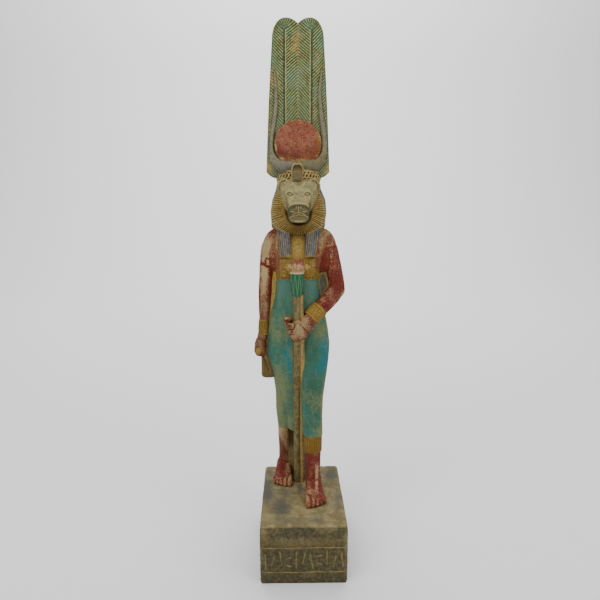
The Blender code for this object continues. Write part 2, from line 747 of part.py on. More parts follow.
def statue(additions, cutter):
    """The finished block: the plinth, with everything that grows from it joined in."""
    block_object = block(
        "statue",
        (-PLINTH_WIDTH / 2, -PLINTH_DEPTH / 2, 0),
        (PLINTH_WIDTH / 2, PLINTH_DEPTH / 2, PLINTH_HEIGHT),
        PLINTH_EDGE,
    )
    place(block_object, statue_collection)
    block_object.hide_render = False
    block_object.display_type = "TEXTURED"
    engrave = block_object.modifiers.new("engrave", "BOOLEAN")
    engrave.operation = "DIFFERENCE"
    engrave.object = cutter
    for form in additions:
        join = block_object.modifiers.new("join_" + form.name, "BOOLEAN")
        join.operation = "UNION"
        join.solver = "MANIFOLD"
        join.object = form
    block_object.data.materials.append(stone_material())
    return block_object


body_forms()
legs_and_feet()
arms()
hands()
bands()
wig()
head_forms()
mane()
straps()
staff()
cap_and_cobra()
sun_disc()
horn(-1)
horn(1)
statue([carved_body(), plumes(), back_pillar()], inscription())
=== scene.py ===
import math

import bpy
import numpy as np
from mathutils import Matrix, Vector
from mathutils.bvhtree import BVHTree


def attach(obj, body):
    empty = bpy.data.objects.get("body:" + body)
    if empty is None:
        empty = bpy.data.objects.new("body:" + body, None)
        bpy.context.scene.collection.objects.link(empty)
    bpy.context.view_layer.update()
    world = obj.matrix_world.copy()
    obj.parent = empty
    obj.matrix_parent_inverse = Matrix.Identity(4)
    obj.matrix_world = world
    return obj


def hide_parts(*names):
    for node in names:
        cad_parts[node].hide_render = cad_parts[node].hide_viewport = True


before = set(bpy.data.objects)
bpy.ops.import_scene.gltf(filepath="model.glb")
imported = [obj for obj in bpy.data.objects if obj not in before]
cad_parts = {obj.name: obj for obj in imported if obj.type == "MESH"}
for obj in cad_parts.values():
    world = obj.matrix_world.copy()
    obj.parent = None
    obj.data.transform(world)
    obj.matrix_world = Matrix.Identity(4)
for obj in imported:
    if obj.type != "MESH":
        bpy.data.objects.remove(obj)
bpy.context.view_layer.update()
print("frame loaded")

# the figure's own ruler: millimetres from the body's axis, with z from the soles
figure = {"axisX": -0.0038, "axisY": 0.036, "soleZ": 0.053, "unit": 0.001}
# the place the photograph was taken from, in millimetres and degrees
shot = {"place": (-11.15, -521.5, 318.4), "pitch": 8.86, "yaw": 0.96, "focal": 589.0, "middle": 300.0}


def deselectAll():
    if bpy.context.object and bpy.context.object.mode != "OBJECT":
        bpy.ops.object.mode_set(mode="OBJECT")
    bpy.ops.object.select_all(action="DESELECT")


def pick(piece):
    deselectAll()
    piece.select_set(True)
    bpy.context.view_layer.objects.active = piece


def getPoints(piece):
    flat = np.empty(len(piece.data.vertices) * 3)
    piece.data.vertices.foreach_get("co", flat)
    return flat.reshape(-1, 3)


def setPoints(piece, points):
    piece.data.vertices.foreach_set("co", np.ascontiguousarray(points, dtype=np.float64).ravel())
    piece.data.update()


def getNormals(piece):
    flat = np.empty(len(piece.data.vertices) * 3)
    piece.data.vertex_normals.foreach_get("vector", flat)
    return flat.reshape(-1, 3)


def getEdges(piece):
    flat = np.empty(len(piece.data.edges) * 2, dtype=np.int64)
    piece.data.edges.foreach_get("vertices", flat)
    return flat.reshape(-1, 2)


def toLocal(points):
    base = np.array((figure["axisX"], figure["axisY"], figure["soleZ"]))
    return (points - base) / figure["unit"]


def toWorld(points):
    base = np.array((figure["axisX"], figure["axisY"], figure["soleZ"]))
    return np.asarray(points) * figure["unit"] + base


def inShot(points):
    # where each point of the statue falls in the photograph's frame
    pitch, yaw = math.radians(shot["pitch"]), math.radians(shot["yaw"])
    ahead = np.array((math.sin(yaw) * math.cos(pitch), math.cos(yaw) * math.cos(pitch), -math.sin(pitch)))
    right = np.array((math.cos(yaw), -math.sin(yaw), 0.0))
    up = np.cross(right, ahead)
    away = points * 1000 - np.array(shot["place"])
    depth = away @ ahead
    return (shot["middle"] + shot["focal"] * (away @ right) / depth,
            shot["middle"] - shot["focal"] * (away @ up) / depth)


def smooth(values, low, high):
    share = np.clip((values - low) / (high - low), 0, 1)
    return share * share * (3 - 2 * share)


def softNoise(points, size, seed):
    # value noise between -1 and 1, with bumps about size metres apart
    table = np.random.default_rng(seed).uniform(-1, 1, (32, 32, 32))
    place = points / size + 1000.0
    cell = np.floor(place).astype(np.int64)
    part = place - cell
    part = part * part * (3 - 2 * part)
    total = np.zeros(len(points))
    for dx in (0, 1):
        for dy in (0, 1):
            for dz in (0, 1):
                weight = ((part[:, 0] if dx else 1 - part[:, 0]) * (part[:, 1] if dy else 1 - part[:, 1])
                          * (part[:, 2] if dz else 1 - part[:, 2]))
                total += weight * table[(cell[:, 0] + dx) % 32, (cell[:, 1] + dy) % 32, (cell[:, 2] + dz) % 32]
    return total


def blots(px, py, patches):
    # the sum of soft ovals in the photograph's frame
    total = np.zeros(len(px))
    for x, y, wide, tall, amount in patches:
        total += amount * np.exp(-(((px - x) / wide) ** 2 + ((py - y) / tall) ** 2))
    return total


def strokeDistance(u, v, path):
    # distance from each (u, v) to a drawn line of points
    best = np.full(len(u), 1e9)
    for (ax, ay), (bx, by) in zip(path, path[1:]):
        dx, dy = bx - ax, by - ay
        share = np.clip(((u - ax) * dx + (v - ay) * dy) / max(dx * dx + dy * dy, 1e-12), 0, 1)
        best = np.minimum(best, np.hypot(u - ax - share * dx, v - ay - share * dy))
    return best


def addMark(piece, name, values):
    layer = piece.data.attributes.get(name) or piece.data.attributes.new(name, "FLOAT", "POINT")
    layer.data.foreach_set("value", np.ascontiguousarray(values, dtype=np.float32))


def swell(angle, power):
    c, s = np.cos(angle), np.sin(angle)
    return np.sign(c) * np.abs(c) ** (2 / power), np.sign(s) * np.abs(s) ** (2 / power)


def addColumn(stations, facing=False, count=40):
    # a disc is extruded once for each station, and each ring is then given its own oval;
    # a facing column lies along y, and its stations start with y and have z in the place of y
    deselectAll()
    bpy.ops.mesh.primitive_circle_add(vertices=count, radius=1, fill_type="NGON", location=(0, 0, 0))
    form = bpy.context.object
    bpy.ops.object.mode_set(mode="EDIT")
    bpy.ops.mesh.select_all(action="SELECT")
    for _ in stations[1:]:
        bpy.ops.mesh.extrude_region_move(TRANSFORM_OT_translate={"value": (0, 0, 1)})
    bpy.ops.object.mode_set(mode="OBJECT")
    points = getPoints(form)
    ring = np.rint(points[:, 2]).astype(int)
    table = np.array(stations, dtype=float)[ring]
    u, v = swell(np.arctan2(points[:, 1], points[:, 0]), table[:, 5])
    level, cx, cy = table[:, 0], table[:, 1], table[:, 2]
    across, along = cx + table[:, 3] * u, cy + table[:, 4] * v
    shaped = np.stack((across, level, along) if facing else (across, along, level), axis=1)
    setPoints(form, toWorld(shaped))
    return form


def addLimb(stations, sides=20, smoothness=6):
    # a round limb through (x, y, z, radius) stations
    curve = bpy.data.curves.new("limb", "CURVE")
    curve.dimensions = "3D"
    curve.bevel_depth = figure["unit"]
    curve.bevel_resolution = sides // 4
    curve.resolution_u = smoothness
    curve.use_fill_caps = True
    spline = curve.splines.new("BEZIER")
    spline.bezier_points.add(len(stations) - 1)
    for point, (x, y, z, radius) in zip(spline.bezier_points, stations):
        point.co = toWorld((x, y, z))
        point.radius = radius
        point.handle_left_type = point.handle_right_type = "AUTO"
    form = bpy.data.objects.new("limb", curve)
    bpy.context.scene.collection.objects.link(form)
    pick(form)
    bpy.ops.object.convert(target="MESH")
    return bpy.context.object


def addBall(centre, radii, segments=32):
    deselectAll()
    bpy.ops.mesh.primitive_uv_sphere_add(segments=segments, ring_count=segments // 2, radius=1,
        location=toWorld(centre), scale=np.array(radii) * figure["unit"])
    form = bpy.context.object
    bpy.ops.object.transform_apply(location=True, rotation=True, scale=True)
    return form


def addBlock(low, high):
    # a box between two corners of the figure's ruler
    low, high = toWorld(low), toWorld(high)
    deselectAll()
    bpy.ops.mesh.primitive_cube_add(size=1, location=tuple((low + high) / 2), scale=tuple(high - low))
    form = bpy.context.object
    bpy.ops.object.transform_apply(location=True, rotation=True, scale=True)
    return form


# how each piece is blended from its forms and cut: (voxel in metres, softening turns, unevenness in mm, seed)
cutting = {
    "sheathDress": (0.00062, 3, 0.16, 11), "advancedLeg": (0.00045, 2, 0.10, 21), "restingLeg": (0.00045, 2, 0.10, 21),
    "footBand": (0.0004, 1, 0.12, 23), "hangingArm": (0.0005, 3, 0.10, 31), "bentArm": (0.0005, 3, 0.10, 37),
    "hangingBracelet": (0.0004, 1, 0.08, 41), "bentBracelet": (0.0004, 1, 0.08, 41),
    "stoneFill": (0.0006, 3, 0.25, 51),
    "clothEnd": (0.0005, 3, 0.10, 53), "rodEnd": (0.00035, 2, 0, 0), "staffFin": (0.0006, 2, 0.25, 61),
    "lionessHead": (0.00042, 2, 0.16, 71), "maneRuff": (0, 0, 0.12, 81), "stripedWig": (0.0005, 2, 0.10, 91),
    "cowHorns": (0.00042, 3, 0.12, 101), "twistedCap": (0.0004, 1, 0.14, 103), "browCobra": (0.00035, 3, 0.12, 105),
    "cobraHalo": (0.0004, 3, 0.10, 107), "tallPlumes": (0, 0, 0.09, 111), "plinthBlock": (0.00058, 2, 0, 0),
    "backPillar": (0.0008, 2, 0.34, 121),
}


def fuse(name, forms, budget=None):
    # joins the forms and blends them into one carved skin of no more triangles than the budget
    voxel, soften = cutting[name][:2]
    deselectAll()
    for form in forms:
        form.select_set(True)
    bpy.context.view_layer.objects.active = forms[0]
    bpy.ops.object.join()
    piece = bpy.context.object
    piece.name = piece.data.name = name
    piece.data.materials.clear()
    remesh = piece.modifiers.new("blend", "REMESH")
    remesh.mode = "VOXEL"
    remesh.voxel_size = voxel
    bpy.ops.object.modifier_apply(modifier="blend")
    relax = piece.modifiers.new("soften", "SMOOTH")
    relax.factor = 0.5
    relax.iterations = soften
    bpy.ops.object.modifier_apply(modifier="soften")
    if budget:
        thinOut(piece, budget / countTriangles(piece))
    return piece


def countTriangles(piece):
    return sum(len(face.vertices) - 2 for face in piece.data.polygons)


def thinOut(piece, share):
    pick(piece)
    thin = piece.modifiers.new("thin", "DECIMATE")
    thin.ratio = share
    bpy.ops.object.modifier_apply(modifier="thin")


def carve(piece, depth):
    # moves every point inwards by its own depth in millimetres
    setPoints(piece, getPoints(piece) - getNormals(piece) * (np.asarray(depth) * figure["unit"])[:, None])


def roughen(piece):
    # the small unevenness of hand-cut stone
    amount, seed = cutting[piece.name][2:]
    points = getPoints(piece)
    wave = 0.6 * softNoise(points, 0.011, seed) + 0.4 * softNoise(points, 0.0035, seed + 1)
    wave += 0.22 * softNoise(points, 0.0014, seed + 2)
    carve(piece, wave * amount)


def finishShape(piece):
    pick(piece)
    bpy.ops.object.mode_set(mode="EDIT")
    bpy.ops.mesh.select_all(action="SELECT")
    bpy.ops.mesh.normals_make_consistent(inside=False)
    bpy.ops.object.mode_set(mode="OBJECT")
    bpy.ops.object.shade_smooth()


def markHollows(piece):
    # hollow is positive in creases, and ridge on edges, at two sizes
    points, normals, edges = getPoints(piece), getNormals(piece), getEdges(piece)
    count = len(points)
    links = np.bincount(edges.ravel(), minlength=count).astype(float)
    links[links == 0] = 1
    lengths = np.linalg.norm(points[edges[:, 0]] - points[edges[:, 1]], axis=1)
    step = float(np.mean(lengths)) / figure["unit"]
    smoothed = points.copy()
    found = []
    for turn in range(1, 25):
        gathered = np.empty_like(smoothed)
        for axis in range(3):
            gathered[:, axis] = (np.bincount(edges[:, 0], weights=smoothed[edges[:, 1], axis], minlength=count)
                                 + np.bincount(edges[:, 1], weights=smoothed[edges[:, 0], axis], minlength=count))
        smoothed = gathered / links[:, None]
        if turn in (6, 24):
            found.append(((smoothed - points) * normals).sum(axis=1) / figure["unit"])
    fine, broad = found[0] / step, found[1] / step
    addMark(piece, "hollow", np.clip(fine * 2.2 + broad * 0.9, 0, 1))
    addMark(piece, "ridge", np.clip(-fine * 2.2 - broad * 0.7, 0, 1))


def markContacts(pieces):
    # contact is 1 where a piece meets another one, and fades over a few millimetres
    trees = {}
    for piece in pieces:
        data = piece.data
        data.calc_loop_triangles()
        flat = np.empty(len(data.loop_triangles) * 3, dtype=np.int32)
        data.loop_triangles.foreach_get("vertices", flat)
        trees[piece.name] = BVHTree.FromPolygons(getPoints(piece).tolist(), flat.reshape(-1, 3).tolist())
    reach = 0.0035
    for piece in pieces:
        points = getPoints(piece)
        low, high = points.min(axis=0) - reach, points.max(axis=0) + reach
        nearest = np.full(len(points), reach)
        for other in pieces:
            if other is piece:
                continue
            otherPoints = getPoints(other)
            if (otherPoints.max(axis=0) < low).any() or (otherPoints.min(axis=0) > high).any():
                continue
            near = (points > otherPoints.min(axis=0) - reach) & (points < otherPoints.max(axis=0) + reach)
            find = trees[other.name].find_nearest
            for i in np.nonzero(near.all(axis=1))[0]:
                hit = find(Vector(points[i]), reach)
                if hit[3] is not None and hit[3] < nearest[i]:
                    nearest[i] = hit[3]
        addMark(piece, "contact", 1 - nearest / reach)


# columns are (level, x, y, half width, half depth, squareness), limbs (x, y, z, radius), balls (place, radii)
dress = {
    "budget": 190000,
    "hipOut": 1.3,
    "hipLevel": 135.0,
    "hipSpread": 15.0,
    "breasts": [((-9.5, -11.5, 219), (7.0, 4.4, 7.5)), ((9.5, -11.5, 219), (7.0, 4.4, 7.5))],
    "torso": [
        (150, 0, 0, 26.0, 15.5, 2.2), (171, -0.2, -0.5, 24.6, 14.8, 2.2), (180, -0.3, -0.6, 22.2, 14.2, 2.2),
        (190, -0.5, -0.6, 20.6, 13.8, 2.3), (199, -0.6, -0.8, 19.8, 13.8, 2.4), (210, -0.4, -1.2, 20.6, 14.4, 2.4),
        (220, 0.4, -1.0, 23.2, 14.2, 2.4), (230, 1.2, -0.4, 27.5, 13.0, 2.5), (238, 1.5, 0.2, 28.0, 11.5, 2.5),
        (245, 1.2, 0.6, 22.0, 10.0, 2.3), (256, 0.4, 0.6, 14.0, 9.5, 2.0)],
    "hips": [
        (51, 3.0, -2.0, 12.5, 9.5, 2.2), (73, 1.8, -2.0, 14.5, 11.5, 2.3), (88, 1.0, -1.8, 17.5, 13.0, 2.4),
        (103, 0.8, -1.5, 22.0, 14.5, 2.4), (117, 0.0, -1.0, 27.0, 15.5, 2.3), (127, -0.2, -0.8, 29.0, 16.0, 2.3),
        (137, -0.3, -0.6, 29.6, 16.2, 2.3), (151, -0.1, -0.5, 28.6, 15.8, 2.3), (161, -0.2, -0.5, 27.2, 15.4, 2.2),
        (171, -0.3, -0.5, 25.0, 14.8, 2.2)],
    "advancedThigh": [
        (53, 14.0, -23.4, 9.1, 10.8, 2.3), (70, 13.0, -19.5, 9.9, 12.0, 2.2), (88, 13.2, -16.0, 10.6, 13.0, 2.2),
        (103, 14.0, -12.5, 12.2, 13.6, 2.2), (120, 14.6, -8.0, 13.8, 14.0, 2.2), (137, 14.0, -4.5, 14.8, 14.2, 2.2),
        (151, 12.0, -2.0, 14.0, 13.0, 2.2)],
    "restingThigh": [
        (51, -11.2, 6.6, 8.6, 9.8, 2.3), (70, -11.9, 6.0, 9.9, 11.0, 2.2), (88, -11.8, 5.0, 10.2, 12.2, 2.2),
        (103, -12.2, 3.5, 11.8, 13.4, 2.2), (120, -14.0, 1.5, 14.2, 15.0, 2.2), (137, -14.6, 0.0, 15.2, 15.2, 2.2),
        (151, -13.0, -0.5, 14.6, 14.4, 2.2)],
    "band": [(199.6, -0.5, -0.9, 20.3, 14.3, 2.4), (208.6, -0.4, -1.1, 20.7, 14.8, 2.4)],
    "leftStrap": [(202, -11.3, -10.2, 5.6, 4.7, 5), (212, -11.3, -11.0, 5.6, 4.9, 5),
        (221.5, -11.5, -11.2, 5.4, 4.9, 5)],
    "rightStrap": [(202, 10.9, -10.2, 5.4, 4.7, 5), (212, 10.9, -11.0, 5.4, 4.9, 5),
        (221.5, 11.1, -11.2, 5.2, 4.9, 5)],
}


def makeDress():
    forms = [addColumn(dress[key]) for key in
             ("torso", "hips", "advancedThigh", "restingThigh", "band", "leftStrap", "rightStrap")]
    forms += [addBall(*ball) for ball in dress["breasts"]]
    piece = fuse("sheathDress", forms, dress["budget"])
    # the hip over the advanced leg stands out a little more
    points = toLocal(getPoints(piece))
    push = np.exp(-((points[:, 2] - dress["hipLevel"]) / dress["hipSpread"]) ** 2) * smooth(points[:, 0], 10, 24)
    points[:, 0] += dress["hipOut"] * push
    setPoints(piece, toWorld(points))
    return piece


# the shins and feet
legs = {
    "sink": -2.0,
    "advanced": {"x": 14.0, "kneeY": -23.5, "ankleY": -31.5, "lean": 0.2, "slim": 1.0, "footX": 14.2,
        "footY": -31.5, "inner": -1},
    "resting": {"x": -13.3, "kneeY": 7.0, "ankleY": 9.8, "lean": 0.0, "slim": 0.84, "footX": -14.0, "footY": 10.0,
        "inner": 1},
    "foot": [
        (11.0, 0.0, 3.6, 6.5), (8.0, 0.0, 6.4, 11.0), (0.0, 0.0, 7.4, 16.0), (-8.0, 0.3, 7.8, 13.6),
        (-16.0, 0.6, 8.3, 9.6), (-23.0, 0.8, 8.9, 6.9), (-27.5, 0.9, 9.1, 5.4)],
    "flutes": 26,
    "ankletLines": (40.6, 51.6),
    "toes": [(-6.5, -35.4, 2.55), (-2.0, -34.6, 1.95), (1.9, -32.8, 1.8), (5.3, -30.6, 1.7), (8.3, -28.2, 1.6)],
    "web": [(-2, -1.0, 12.0, 8.5, 9.0, 4), (40, 1.0, 12.0, 9.6, 8.5, 4), (60, 1.5, 11.0, 12.0, 9.0, 4)],
    "anklet": [(38.7, 13.7, -27.4, 8.0, 8.9, 2.2), (39.3, 13.7, -27.3, 8.5, 9.4, 2.2),
               (52.6, 13.9, -24.9, 8.7, 9.9, 2.2), (53.3, 13.9, -24.8, 8.2, 9.4, 2.2)],
}


def legForms(leg):
    x, knee, ankle, lean, slim = leg["x"], leg["kneeY"], leg["ankleY"], leg["lean"], leg["slim"]
    forms = [addColumn([
        (4, x, ankle, 7.2, 9.4, 2.2), (12, x, ankle + 0.5, 7.0 * slim, 8.7, 2.2),
        (20, x - lean * 0.5, ankle * 0.9 + knee * 0.1, 6.7 * slim, 8.1, 2.1),
        (30, x - lean, ankle * 0.75 + knee * 0.25, 7.0 * slim, 8.0, 2.1),
        (42, x - lean, ankle * 0.4 + knee * 0.6, 7.6 * slim, 8.6, 2.1), (55, x - lean, knee, 7.8 * slim, 8.8, 2.2)])]
    for side in (-1, 1):
        forms.append(addBall((x + side * 6.0 * slim, ankle + 0.8, 12.5), (1.9, 2.8, 2.8), 20))
    sole = legs["sink"]
    forms.append(addColumn([
        (leg["footY"] + dy, leg["footX"] - leg["inner"] * shift, (sole + top) / 2, half, (top - sole) / 2, 3.0)
        for dy, shift, half, top in legs["foot"]], facing=True))
    for across, tip, radius in legs["toes"]:
        toeX = leg["footX"] - leg["inner"] * (across + 0.8)
        y = leg["footY"]
        forms.append(addLimb([
            (toeX + leg["inner"] * 0.8, y - 20, 4.6, radius * 0.95), (toeX, y + tip + 6.5, 3.9, radius * 0.92),
            (toeX, y + tip + 3.2, 2.6, radius * 1.02), (toeX, y + tip + radius * 0.5, 1.8, radius * 0.9)], 16, 4))
        forms.append(addBall((toeX, y + tip + radius * 0.55, 1.8), (radius * 0.9, radius * 0.75, radius * 0.95), 16))
    return forms


def makeLegs():
    pieces = []
    for name in ("advanced", "resting"):
        leg = legs[name]
        piece = fuse(name + "Leg", legForms(leg))
        points = toLocal(getPoints(piece))
        # toenails: a thin line round each one
        depth = np.zeros(len(points))
        for across, tip, radius in legs["toes"]:
            toeX = leg["footX"] - leg["inner"] * (across + 0.8)
            y = leg["footY"] + tip + 2.6
            off = np.hypot((points[:, 0] - toeX) / (radius * 0.62), (points[:, 1] - y) / 1.5)
            depth += 0.22 * np.exp(-((off - 1) / 0.22) ** 2) * (points[:, 2] > 1.8)
        carve(piece, depth)
        pieces.append(piece)
    anklet = fuse("footBand", [addColumn(legs["anklet"], count=64)])
    points = toLocal(getPoints(anklet))
    turn = np.arctan2(points[:, 1] + 26.0, points[:, 0] - 13.8)
    inside = smooth(points[:, 2], 40.4, 41.2) * (1 - smooth(points[:, 2], 51.0, 51.8))
    lines = sum(np.exp(-((points[:, 2] - level) / 0.35) ** 2) for level in legs["ankletLines"])
    carve(anklet, 0.28 * inside * (0.5 + 0.5 * np.cos(turn * legs["flutes"])) ** 2 + 0.22 * lines)
    return pieces + [anklet]


arms = {
    "hanging": [
        (-18.0, 0.5, 240, 7.0), (-25.2, 0.0, 230, 8.8), (-28.6, 0.0, 216, 7.4), (-30.3, 0.0, 200, 6.5),
        (-31.0, 0.0, 188, 6.7), (-31.8, -0.8, 172, 5.8), (-32.6, -1.6, 158, 4.4), (-33.2, -2.2, 148, 4.5)],
    "bentUpper": [
        (20.0, 0.5, 240, 7.0), (27.6, 0.0, 230, 8.8), (32.4, 0.0, 215, 8.0), (35.4, -0.5, 202, 7.6),
        (37.2, -1.5, 191, 7.6)],
    "bentFore": [
        (37.0, -1.5, 190, 7.6), (32.8, -5.0, 184.0, 8.0), (24.6, -11.0, 176.0, 7.7), (15.6, -15.5, 167.0, 6.6),
        (10.0, -18.4, 162.0, 6.6), (4.0, -20.0, 156.5, 7.6)],
    "hangingBalls": [
        ((-19.5, 0.0, 226.0), (14.4, 9.5, 21.0)), ((-36.2, -2.6, 134.0), (5.7, 7.4, 10.2)),
        ((-34.4, -2.6, 143.5), (4.7, 5.2, 6.0)), ((-37.6, -4.0, 131.0), (4.6, 6.4, 6.6))],
    "bentBalls": [
        ((21.5, 0.0, 226.0), (15.4, 9.5, 21.5)), ((37.2, -1.0, 189.0), (7.7, 7.8, 8.6)),
        ((1.6, -20.0, 153.6), (8.6, 7.6, 10.6)), ((6.6, -19.6, 158.0), (7.6, 7.0, 8.4)),
        ((-1.0, -19.5, 149.5), (7.0, 6.6, 7.0))],
    # the fingers go round the far side of the staff, and two tips show beside it
    "fingers": [
        [(4.0, -13.0, 160.0, 3.0), (-3.0, -12.4, 161.6, 2.9), (-8.4, -15.0, 162.4, 2.9), (-10.6, -19.6, 162.8, 2.9),
         (-9.6, -21.6, 162.6, 2.5)],
        [(-2.0, -13.0, 156.0, 3.0), (-7.6, -16.0, 156.6, 3.0), (-8.8, -21.0, 157.4, 3.0), (-6.6, -24.6, 158.2, 2.9),
         (-4.0, -25.2, 157.6, 2.6)],
        [(-3.0, -13.0, 151.0, 3.0), (-7.0, -18.0, 151.6, 2.9), (-5.6, -23.0, 151.8, 2.8)]],
    "fingerCuts": [
        [(-12.0, 159.6), (-8.6, 160.2), (-5.0, 161.6)], [(-9.8, 154.6), (-7.2, 154.9), (-4.6, 155.4)],
        [(-8.6, 149.0), (-6.2, 149.6), (-4.4, 150.2)]],
    "fistCuts": (138.6, 134.6, 130.6, 126.6),
    "flutes": 22,
    "hangingBand": [(-32.6, -1.6, 160.0, 5.0), (-32.9, -1.9, 153.0, 5.1), (-33.2, -2.2, 146.0, 5.2)],
    "bentBand": [(20.2, -13.2, 172.6, 8.5), (15.8, -15.5, 168.4, 8.3), (11.4, -17.4, 164.0, 8.0)],
}


def makeArms():
    hanging = [addLimb(arms["hanging"], 32)] + [addBall(*ball) for ball in arms["hangingBalls"]]
    first = fuse("hangingArm", hanging)
    points = toLocal(getPoints(first))
    # fingers are only cut on the outer side of this fist
    outer = smooth(-getNormals(first)[:, 0], 0.35, 0.8) * (points[:, 2] < 140.5) * (points[:, 2] > 124)
    tilted = points[:, 2] + 0.06 * points[:, 1]
    fingers = sum(np.exp(-((tilted - level) / 0.42) ** 2) for level in arms["fistCuts"])
    carve(first, 0.5 * outer * fingers)
    bent = [addLimb(arms["bentUpper"], 32), addLimb(arms["bentFore"], 32)]
    bent += [addBall(*ball) for ball in arms["bentBalls"]]
    bent += [addLimb(finger, 20, 8) for finger in arms["fingers"]]
    second = fuse("bentArm", bent)
    points = toLocal(getPoints(second))
    near = (points[:, 0] < 8) & (points[:, 1] < -14)
    away = [strokeDistance(points[:, 0], points[:, 2], path) for path in arms["fingerCuts"]]
    carve(second, sum(0.55 * np.exp(-(each / 0.45) ** 2) for each in away) * near)
    bands = []
    for name, key in (("hangingBracelet", "hangingBand"), ("bentBracelet", "bentBand")):
        band = fuse(name, [addLimb(arms[key], 48, 12)])
        points = getPoints(band)
        line = toWorld([station[:3] for station in arms[key]])
        along = line[-1] - line[0]
        span = float(np.linalg.norm(along))
        along /= span
        share = (points - line[0]) @ along / span
        rel = points - line[0] - ((points - line[0]) @ along)[:, None] * along
        side = np.cross(along, (0.0, 1.0, 0.0))
        side /= np.linalg.norm(side)
        turn = np.arctan2(rel @ np.cross(along, side), rel @ side)
        # long flutes round the band between two plain rims
        inside = smooth(share, 0.10, 0.18) * (1 - smooth(share, 0.82, 0.90))
        flutes = 0.5 + 0.5 * np.cos(turn * arms["flutes"])
        rims = np.exp(-((share - 0.14) / 0.03) ** 2) + np.exp(-((share - 0.86) / 0.03) ** 2)
        carve(band, 0.30 * inside * flutes ** 2 + 0.28 * rims)
        bands.append(band)
    return [first, second] + bands


# the rod, the cloth end and the stone left in the gaps
webs = {
    "hangingWeb": [(104, -27.0, 2.5, 5, 5, 4), (118, -29, 2.5, 5, 5, 4), (150, -28, 2.5, 6, 5, 4),
                   (190, -24, 2.5, 7, 5, 4), (232, -22, 2.5, 7, 5, 4)],
    "bentWeb": [(158, 13, -3, 6, 7, 4), (170, 18.5, -2, 7, 7, 4), (182, 25, 2.5, 8, 5, 4), (200, 25, 3, 9, 4, 4),
                (232, 24, 3, 8, 5, 4)],
    "rod": [(-37.4, -11.6, 131.0, 2.7), (-37.0, -3.0, 131.4, 2.8), (-36.6, 7.2, 132.0, 2.6)],
    "rodCap": ((-37.4, -11.4, 131.0), (2.75, 1.3, 2.9)),
    "cloth": [(102.8, -28.7, 0, 4.6, 3.9, 4), (103.8, -28.8, 0, 5.9, 4.4, 4.5), (105.6, -28.9, 0, 6.6, 4.6, 5),
              (124, -29.4, 0, 6.1, 4.6, 5), (134, -30.0, 0, 5.2, 4.5, 5)],
}


def makeFill():
    fill = fuse("stoneFill", [addColumn(webs["hangingWeb"]), addColumn(webs["bentWeb"]), addColumn(legs["web"])])
    cloth = fuse("clothEnd", [addColumn(webs["cloth"])])
    points = toLocal(getPoints(cloth))
    fold = points[:, 0] + 29.5 - (points[:, 2] - 112) * -0.32
    carve(cloth, 0.55 * np.exp(-(fold / 0.8) ** 2) * (points[:, 1] < -2) * smooth(points[:, 2], 106, 112))
    rod = fuse("rodEnd", [addLimb(webs["rod"], 24), addBall(*webs["rodCap"], 20)])
    return [fill, cloth, rod]


staff = {
    "foot": (0.0, -11.0, -2.0),
    "top": (-1.2, -20.4, 207.6),
    "radius": 4.0,
    "flower": 22.5,
    "flowerRadius": 6.6,
    "leaves": 9,
    "ringDrops": (0.4, 1.8, 3.2),
    "fin": [
        [(-2, 0.0, -5.0, 3.4, 7.0, 6), (60, 0.0, -7.0, 3.4, 7.0, 6), (120, -0.4, -13.0, 3.4, 4.0, 6),
         (200, -1.0, -15.0, 3.4, 5.0, 6)],
        [(-2, 4.2, -8.0, 2.6, 6.5, 5), (60, 4.2, -11.5, 2.6, 6.5, 5), (120, 4.2, -14.6, 2.2, 4.8, 5),
         (150, 3.9, -15.8, 1.8, 4.8, 5), (186, 3.2, -17.5, 1.6, 4.0, 5)]],
}


